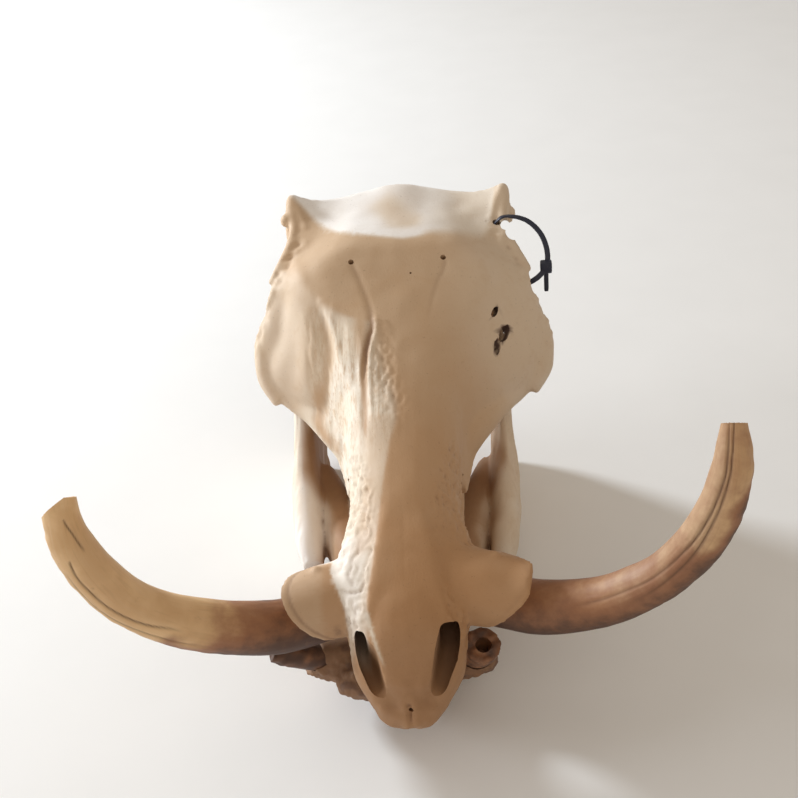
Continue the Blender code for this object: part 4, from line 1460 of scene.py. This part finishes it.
def nylon_finish():
    """Dark nylon with a dull moulded sheen."""
    finish = Finish("dark_nylon", Specular_IOR_Level=0.5)
    clouds = finish.noise(4, 3, 0.5)
    fine = finish.noise(0.5, 3, 0.6)
    colour = finish.mix(clouds, DARK_NYLON, WORN_NYLON)
    return finish.use(colour, 0.38 + 0.2 * clouds, finish.bump(fine, 0.05, 0.4))


# Where each finish is worn, stained or dark, and where light and shade are painted on it


def hollows(clay, rounds):
    """How hollow the surface is at each point, from its neighbours: 0 on open ground."""
    points, normals = clay.points, clay.normals
    pairs = np.empty(len(clay.mesh.edges) * 2, np.int32)
    clay.mesh.edges.foreach_get("vertices", pairs)
    a, b = pairs.reshape(-1, 2).T
    count = np.bincount(np.concatenate([a, b]), minlength=len(points)) + 1e-9
    step = points[b] - points[a]
    length = np.linalg.norm(step, axis=1) + 1e-6
    rise_a = np.einsum("ij,ij->i", step, normals[a]) / length
    rise_b = -np.einsum("ij,ij->i", step, normals[b]) / length
    depth = (np.bincount(a, rise_a, len(points)) + np.bincount(b, rise_b, len(points))) / count
    for _ in range(rounds):
        spread = np.bincount(a, depth[b], len(points)) + np.bincount(b, depth[a], len(points))
        depth = 0.5 * depth + 0.5 * spread / count
    return depth


def dirt(clay):
    """What has gathered in the narrow hollows, and painted shade in the wide ones."""
    return ramp(hollows(clay, 2), 0.03, 0.22) * 0.8 + ramp(hollows(clay, 14), 0.02, 0.12) * 0.5


def skull_points(obj):
    """The points of a laid-down piece, in millimetres in the skull's own frame."""
    flat = np.empty(len(obj.data.vertices) * 3, np.float32)
    obj.data.vertices.foreach_get("co", flat)
    back = np.array(FLOOR_FROM_SKULL.inverted())
    return (flat.reshape(-1, 3) @ back[:3, :3].T + back[:3, 3]) / MM


def inside_of(clay, points, path, width, surely=(0.25, 0.55)):
    """How surely each point lies on the inner wall of an opening that runs along a path."""
    rows = smooth_rows([p[:3] for p in path], 8)
    near = np.argmin(((points[:, None, :] - rows[None, :, :]) ** 2).sum(2), axis=1)
    away = rows[near] - points
    distance = np.linalg.norm(away, axis=1) + 1e-6
    inward = FLOOR_FROM_SKULL.to_3x3().transposed()
    normals = clay.normals @ np.array(inward).T
    facing = (normals * away).sum(1) / distance
    return ramp(facing, *surely) * (1 - ramp(distance, width, width + 2))


def openings_dark(clay, points):
    """Painted shade inside the nose and inside the broken holes: how dark each point is made."""
    y = points[:, 1]
    deep = np.zeros(len(y))
    for side in BOTH_SIDES:
        naris = inside_of(clay, points, mirrored(NARIS_ROWS[side], side), 17)
        deep = np.maximum(deep, naris * np.interp(y, [14, 28, 42, 56], [0.05, 0.2, 0.4, 0.6]))
    for hole in BROKEN_HOLES:
        middle = Vector(hole[0])
        path = [middle, middle - UPWARD * 4, middle - UPWARD * 8]
        deep = np.maximum(deep, 0.9 * inside_of(clay, points, path, 9, (0.15, 0.4)))
    return deep


def tan_patches(points, past_edge):
    """Tan on the lit right half of the face, mostly painted shade where the surface turns from the light: in
    the cheek's trough, on a wedge of the forehead, along the nerve groove and in a strip past the lit edge.
    """
    y = points[:, 1]
    tan = np.maximum(0.8 * nearness(points, CHEEK_TROUGH, 6.5), nearness(points, TAN_WEDGE, 6.5))
    tan = np.maximum(tan, 0.9 * nearness(points, NERVE_GROOVE[RIGHT], 2.4) * ramp(y, 150, 175))
    return np.maximum(tan, 0.5 * (1 - ramp(past_edge, 5, 11)) * span(y, 95, 175, 12))


def stains(points, warm, sleeve):
    """The brown stains at the snout, in the grooves and cracks and round the tusks' sleeves, with painted
    shadow under the sleeves and a little painted shade on the snout's shaded side.
    """
    x, y = points.T[:2]
    stain = 0.4 * (1 - ramp(y, 5, 70)) + 0.1 * (1 - ramp(y, 60, 150)) * ramp(warm, 0.5, 0.9)
    stain = stain + 0.35 * nearness(points, NERVE_GROOVE[RIGHT], 2.0) * span(y, 170, 246, 12)
    for crack in FLANK_CRACKS:
        stain = stain + 0.35 * nearness(points, crack, 1.2)
    for side, seam_stain in ((RIGHT, 0.55), (LEFT, 0.15)):
        # Painted shadow, with stains, under each sleeve where the tusk comes out
        stain = stain + 0.8 * nearness(points, [(side * 46, 72, 25), (side * 66, 74, 31)], 12)
        stain = stain + 0.3 * nearness(points, NERVE_GROOVE[side], 1.6)
        stain = stain + seam_stain * sleeve * (rim_seam(points, side) * (side * x > 0))
    return stain


def paint_cranium(obj):
    """Where the cranium is tan as patina and as painted shade, brown, stained, painted near-white as light,
    and painted dark inside its openings.
    """
    clay = Clay(obj)
    points = skull_points(obj)
    x, y, z = points.T
    # The lit side of the face, past lit_edge, is left pale; the rest is painted tan as shade
    past_edge = (lit_edge(y) - x) / (2 + 3 * ramp(y, 150, 200))
    beyond = 0.65 * ramp(past_edge, -1, 1) + 0.35 * ramp(past_edge, 1, 4)
    beyond = beyond * (1 - 0.55 * ramp(-x, 48, 60) * ramp(y, 220, 240))
    # Painted shadow under the cheek, in tan and brown
    under_cheek = nearness(points, UNDER_CHEEK, 6)
    warm = np.maximum(np.maximum(1.0 - 0.9 * beyond, tan_patches(points, past_edge)), under_cheek)
    # The shelf before the crest is painted near-white as light, with painted shade (dull) on its middle and
    # on the skull's left side
    reach = 4 + 8 * ramp(x, 12, 36) + 3 * ramp(-x, 15, 60)
    shelf = ramp((y - lit_shelf(x)) / reach, -1, 0.4) * ramp(z, 92, 122) * clay.facing(UPWARD, -0.25, 0.35)
    dull = 0.4 * nearness(points, [(-10, 350, 137), (4, 330, 140)], 13)
    dull = dull + 0.25 * ramp(x, 16, 50) + 0.15 * ramp(20 - np.abs(x - 4), 0, 12) * ramp(y, 312, 322)
    warm = warm * (1 - shelf) + dull * shelf
    bleached = shelf * (1 - 0.8 * ramp(dull, 0.1, 0.45)) * (0.85 - 0.45 * ramp(x, 10, 50))
    # The lit flank of the snout is also painted near-white as light
    bleached = np.maximum(bleached, 0.45 * span(y, 40, 100, 14) * beyond * ramp(z, 40, 52))
    warm = np.where(y < 60, np.maximum(warm, 1 - ramp(y, 20, 60)), warm)
    # Painted light along the lit rim of the right naris
    warm *= 1 - 0.8 * nearness(points, NARIS_EDGE, 1.6)
    # The fronts of the tusks' sleeves, outside this border, are painted tan as shade
    border = np.interp(y, [51, 56, 61, 66, 75, 85], [35, 36.1, 36.7, 38.8, 42.3, 45.7])
    sleeve = ramp(np.abs(x) - border, -1, 1.5) * (1 - ramp(y, 94, 102))
    warm = np.maximum(warm, sleeve)
    warm *= 1 - 0.45 * ramp(x, 15, 80) * ramp(y, 205, 240)
    warm = np.maximum(warm, 0.5 * (1 - ramp(z, 10, 55)))
    # Brown: stains growing towards the snout's tip, laid only where tan shade is painted; on the sleeves
    # painted shade, most on the skull's left one; and the painted shadow under the cheek
    brown = np.interp(y, [0, 50, 100, 150, 200, 260], [1, 1, 0.85, 0.6, 0.3, 0]) * ramp(warm, 0.3, 0.9)
    sleeve_brown = np.where(x > 0, 0.9, 0.25 + 0.45 * ramp(x, -53, -48))
    brown = np.maximum(brown * (1 - sleeve) + sleeve * sleeve_brown, 0.7 * under_cheek)
    write_layers(
        obj, warm=warm, brown=brown, fibre=fibre_zone(points) * (1 - 0.5 * warm), hollow=dirt(clay),
        stain=stains(points, warm, sleeve), deep=openings_dark(clay, points), bleached=bleached,
    )


def lit_edge(y):
    """How far to the side the right half of the face begins, which is lit and painted pale while the rest is
    painted tan as shade, from the snout up to the brow.
    """
    return np.interp(y, [60, 77, 96, 121, 140, 160, 173, 186, 201, 215, 230, 243, 250, 256, 263, 277, 300,
                         311],
                     [-22, -19.3, -16.7, -13.4, -10.6, -7, -3, -3, -6.4, -11, -14, -16, -34, -44, -52, -62,
                      -77, -84])


def lit_shelf(x):
    """Where the shelf in front of the crest begins, which is painted near-white as light behind this line.
    """
    return np.interp(x, [-80, -66, -53, -40, -30, -11, 3, 14, 24, 43, 58, 64, 70],
                     [372, 358, 340, 324, 316, 310, 306, 308, 314, 318, 322, 332, 372])


def paint_jaw(obj):
    """Where the jaw is brown, stained in front and painted as shade inside, tan as painted shade mostly on
    its left half, and painted near-white as light on its right branch.
    """
    clay = Clay(obj)
    points = skull_points(obj)
    x, y, z = points.T
    front = 1 - ramp(y, 84, 140)
    aside = np.abs(x - JAW_SHIFT) + 7 * noise_at(points, 22, seed=4.6)
    outward = ramp(np.sign(x) * clay.normals[:, 0], 0, 0.6) * ramp(y, 165, 225)
    # The inside of the jaw is painted brown and dark as shade
    inner = (1 - ramp(aside - 14 * ramp(y, 190, 230), 48, 66)) * (1 - outward)
    # Tan as painted shade, most on the jaw's left half, away from the key light
    pale = 0.1 + 0.3 * (x > 0) + outward * (0.2 + 0.12 * noise_at(points, 30, seed=6.1))
    blots = 0.5 + 0.5 * noise_at(points, 9, front, seed=2.6)
    # Painted light: near-white on the right branch, where the key light falls
    bleached = 0.8 * (1 - front) * ramp(JAW_SHIFT - x, 48, 62) * ramp(z, -60, -20)
    write_layers(
        obj, warm=np.maximum(0.9 * front, np.maximum(0.9 * inner, pale)),
        brown=np.maximum(0.8 * front, inner), hollow=dirt(clay),
        stain=front * (0.45 + 0.6 * blots) + 0.6 * inner, deep=0.5 * front * ramp(blots, 0.62, 0.8),
        bleached=bleached * (1 - 0.85 * outward),
    )


# The whole skull


def finish_piece(obj, material, slot, *nodes):
    """Gives a piece its finish and says where it rides and which solids it replaces. The slot is not used.
    """
    obj.data.materials.clear()
    obj.data.materials.append(material)
    shade_smooth(obj)
    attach(obj, "root")
    if nodes:
        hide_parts(*nodes)


# The levels from which the cheek teeth rise to the bite
UPPER_TOOTH_BASE = 10
LOWER_TOOTH_BASE = -12


def build_skull():
    """All pieces, from the cranium to the cable tie."""
    bone = bone_finish("skull_bone")
    ivory = ivory_finish("tusk_ivory")
    enamel = tooth_finish()
    nylon = nylon_finish()
    top = cranium()
    lay_down(top)
    paint_cranium(top)
    finish_piece(top, bone, "bone", "cranium")
    jaw = mandible()
    paint_jaw(jaw)
    finish_piece(jaw, bone, "bone", "mandible")
    for side in BOTH_SIDES:
        word = SIDE_NAMES[side]
        finish_piece(upper_tusk(side), ivory, "ivory", "upper_tusk_" + word)
        finish_piece(lower_tusk(side), ivory, "ivory", "lower_tusk_" + word)
        upper = cheek_teeth("upper_cheek_teeth_" + word, side, 0, UPPER_TOOTH_BASE, BITE_GAP / 2)
        lower = cheek_teeth("lower_cheek_teeth_" + word, side, JAW_SHIFT, LOWER_TOOTH_BASE, -BITE_GAP / 2)
        finish_piece(upper, enamel, "bone")
        finish_piece(lower, enamel, "bone")
    finish_piece(incisors(), enamel, "bone")
    strap, head, tail = cable_tie()
    finish_piece(strap, nylon, "nylon", "cable_tie")
    finish_piece(head, nylon, "nylon")
    finish_piece(tail, nylon, "nylon")


# The camera, the floor and the light

# The camera in the skull's own frame, in millimetres, with the picture's size and centre in pixels
CAMERA_TARGET = Vector((0, 180, 60))
CAMERA_DISTANCE = 800
CAMERA_AZIMUTH = math.radians(3.6)
CAMERA_HEIGHT = math.radians(46.9)
CAMERA_ROLL = math.radians(5.3)
PICTURE_SIZE = 798
FOCAL_PIXELS = 1218
PICTURE_CENTRE = (405, 456)
SENSOR_WIDTH = 36.0

FLOOR_RADIUS = 6.0
FLOOR_COLOURS = ((0.86, 0.86, 0.86), (0.90, 0.90, 0.90))
ROOM_COLOUR = (1.0, 0.90, 0.78, 1)
ROOM_STRENGTH = 0.46
LAMPS_AIM_AT = Vector((0, 0, 0.1))

# The lamps: name, place, size, power and colour
LAMPS = [
    ("key", (-1.75, 1.2, 0.92), 0.4, 54, (0.87, 0.94, 1.0)),
    ("side", (-2.0, -0.3, 1.0), 0.8, 10, (0.95, 0.97, 1.0)),
    ("fill", (0.5, -1.6, 1.8), 1.6, 5, (1.0, 0.84, 0.66)),
]


def add_camera():
    """The photo's view, from above and in front."""
    side = Vector((math.cos(CAMERA_AZIMUTH), math.sin(CAMERA_AZIMUTH), 0))
    look = Vector((
        -math.sin(CAMERA_AZIMUTH) * math.cos(CAMERA_HEIGHT),
        math.cos(CAMERA_AZIMUTH) * math.cos(CAMERA_HEIGHT),
        -math.sin(CAMERA_HEIGHT),
    ))
    rise = side.cross(look)
    right = side * math.cos(CAMERA_ROLL) - rise * math.sin(CAMERA_ROLL)
    up = side * math.sin(CAMERA_ROLL) + rise * math.cos(CAMERA_ROLL)
    turn = Matrix((right, up, -look)).transposed().to_4x4()
    place = Matrix.Translation((CAMERA_TARGET - look * CAMERA_DISTANCE) * MM)
    data = bpy.data.cameras.new("camera")
    data.sensor_width = SENSOR_WIDTH
    data.lens = FOCAL_PIXELS / PICTURE_SIZE * SENSOR_WIDTH
    data.shift_x = (PICTURE_SIZE / 2 - PICTURE_CENTRE[0]) / PICTURE_SIZE
    data.shift_y = (PICTURE_CENTRE[1] - PICTURE_SIZE / 2) / PICTURE_SIZE
    data.clip_end = 20
    camera = bpy.data.objects.new("camera", data)
    camera.matrix_world = FLOOR_FROM_SKULL @ place @ turn
    bpy.context.scene.collection.objects.link(camera)
    bpy.context.scene.camera = camera


def add_floor():
    """A wide pale disc on which the skull lies."""
    bm = bmesh.new()
    bmesh.ops.create_circle(bm, cap_ends=True, segments=96, radius=FLOOR_RADIUS)
    floor = object_of(bm, "floor")
    finish = Finish("pale_floor", Specular_IOR_Level=0.2)
    grain = finish.noise(60, 4, 0.5)
    colour = finish.mix(grain, *FLOOR_COLOURS)
    floor.data.materials.append(finish.use(colour, 0.7 + 0.1 * grain, finish.bump(grain, 0.1, 0.2)))


def add_lamp(name, at, size, power, colour):
    data = bpy.data.lights.new(name, "AREA")
    data.shape = "DISK"
    data.size = size
    data.energy = power
    data.color = colour
    lamp = bpy.data.objects.new(name, data)
    lamp.location = at
    lamp.rotation_euler = (LAMPS_AIM_AT - Vector(at)).to_track_quat("-Z", "Y").to_euler()
    bpy.context.scene.collection.objects.link(lamp)


def add_light():
    """A cool key from behind and a weaker one beside it on the skull's right, and an orange-tinted fill in
    front.
    """
    world = bpy.data.worlds.new("studio")
    world.use_nodes = True
    background = world.node_tree.nodes["Background"]
    background.inputs["Color"].default_value = ROOM_COLOUR
    background.inputs["Strength"].default_value = ROOM_STRENGTH
    bpy.context.scene.world = world
    bpy.context.scene.view_settings.view_transform = "Standard"
    for lamp in LAMPS:
        add_lamp(*lamp)


add_camera()
add_floor()
add_light()
build_skull()
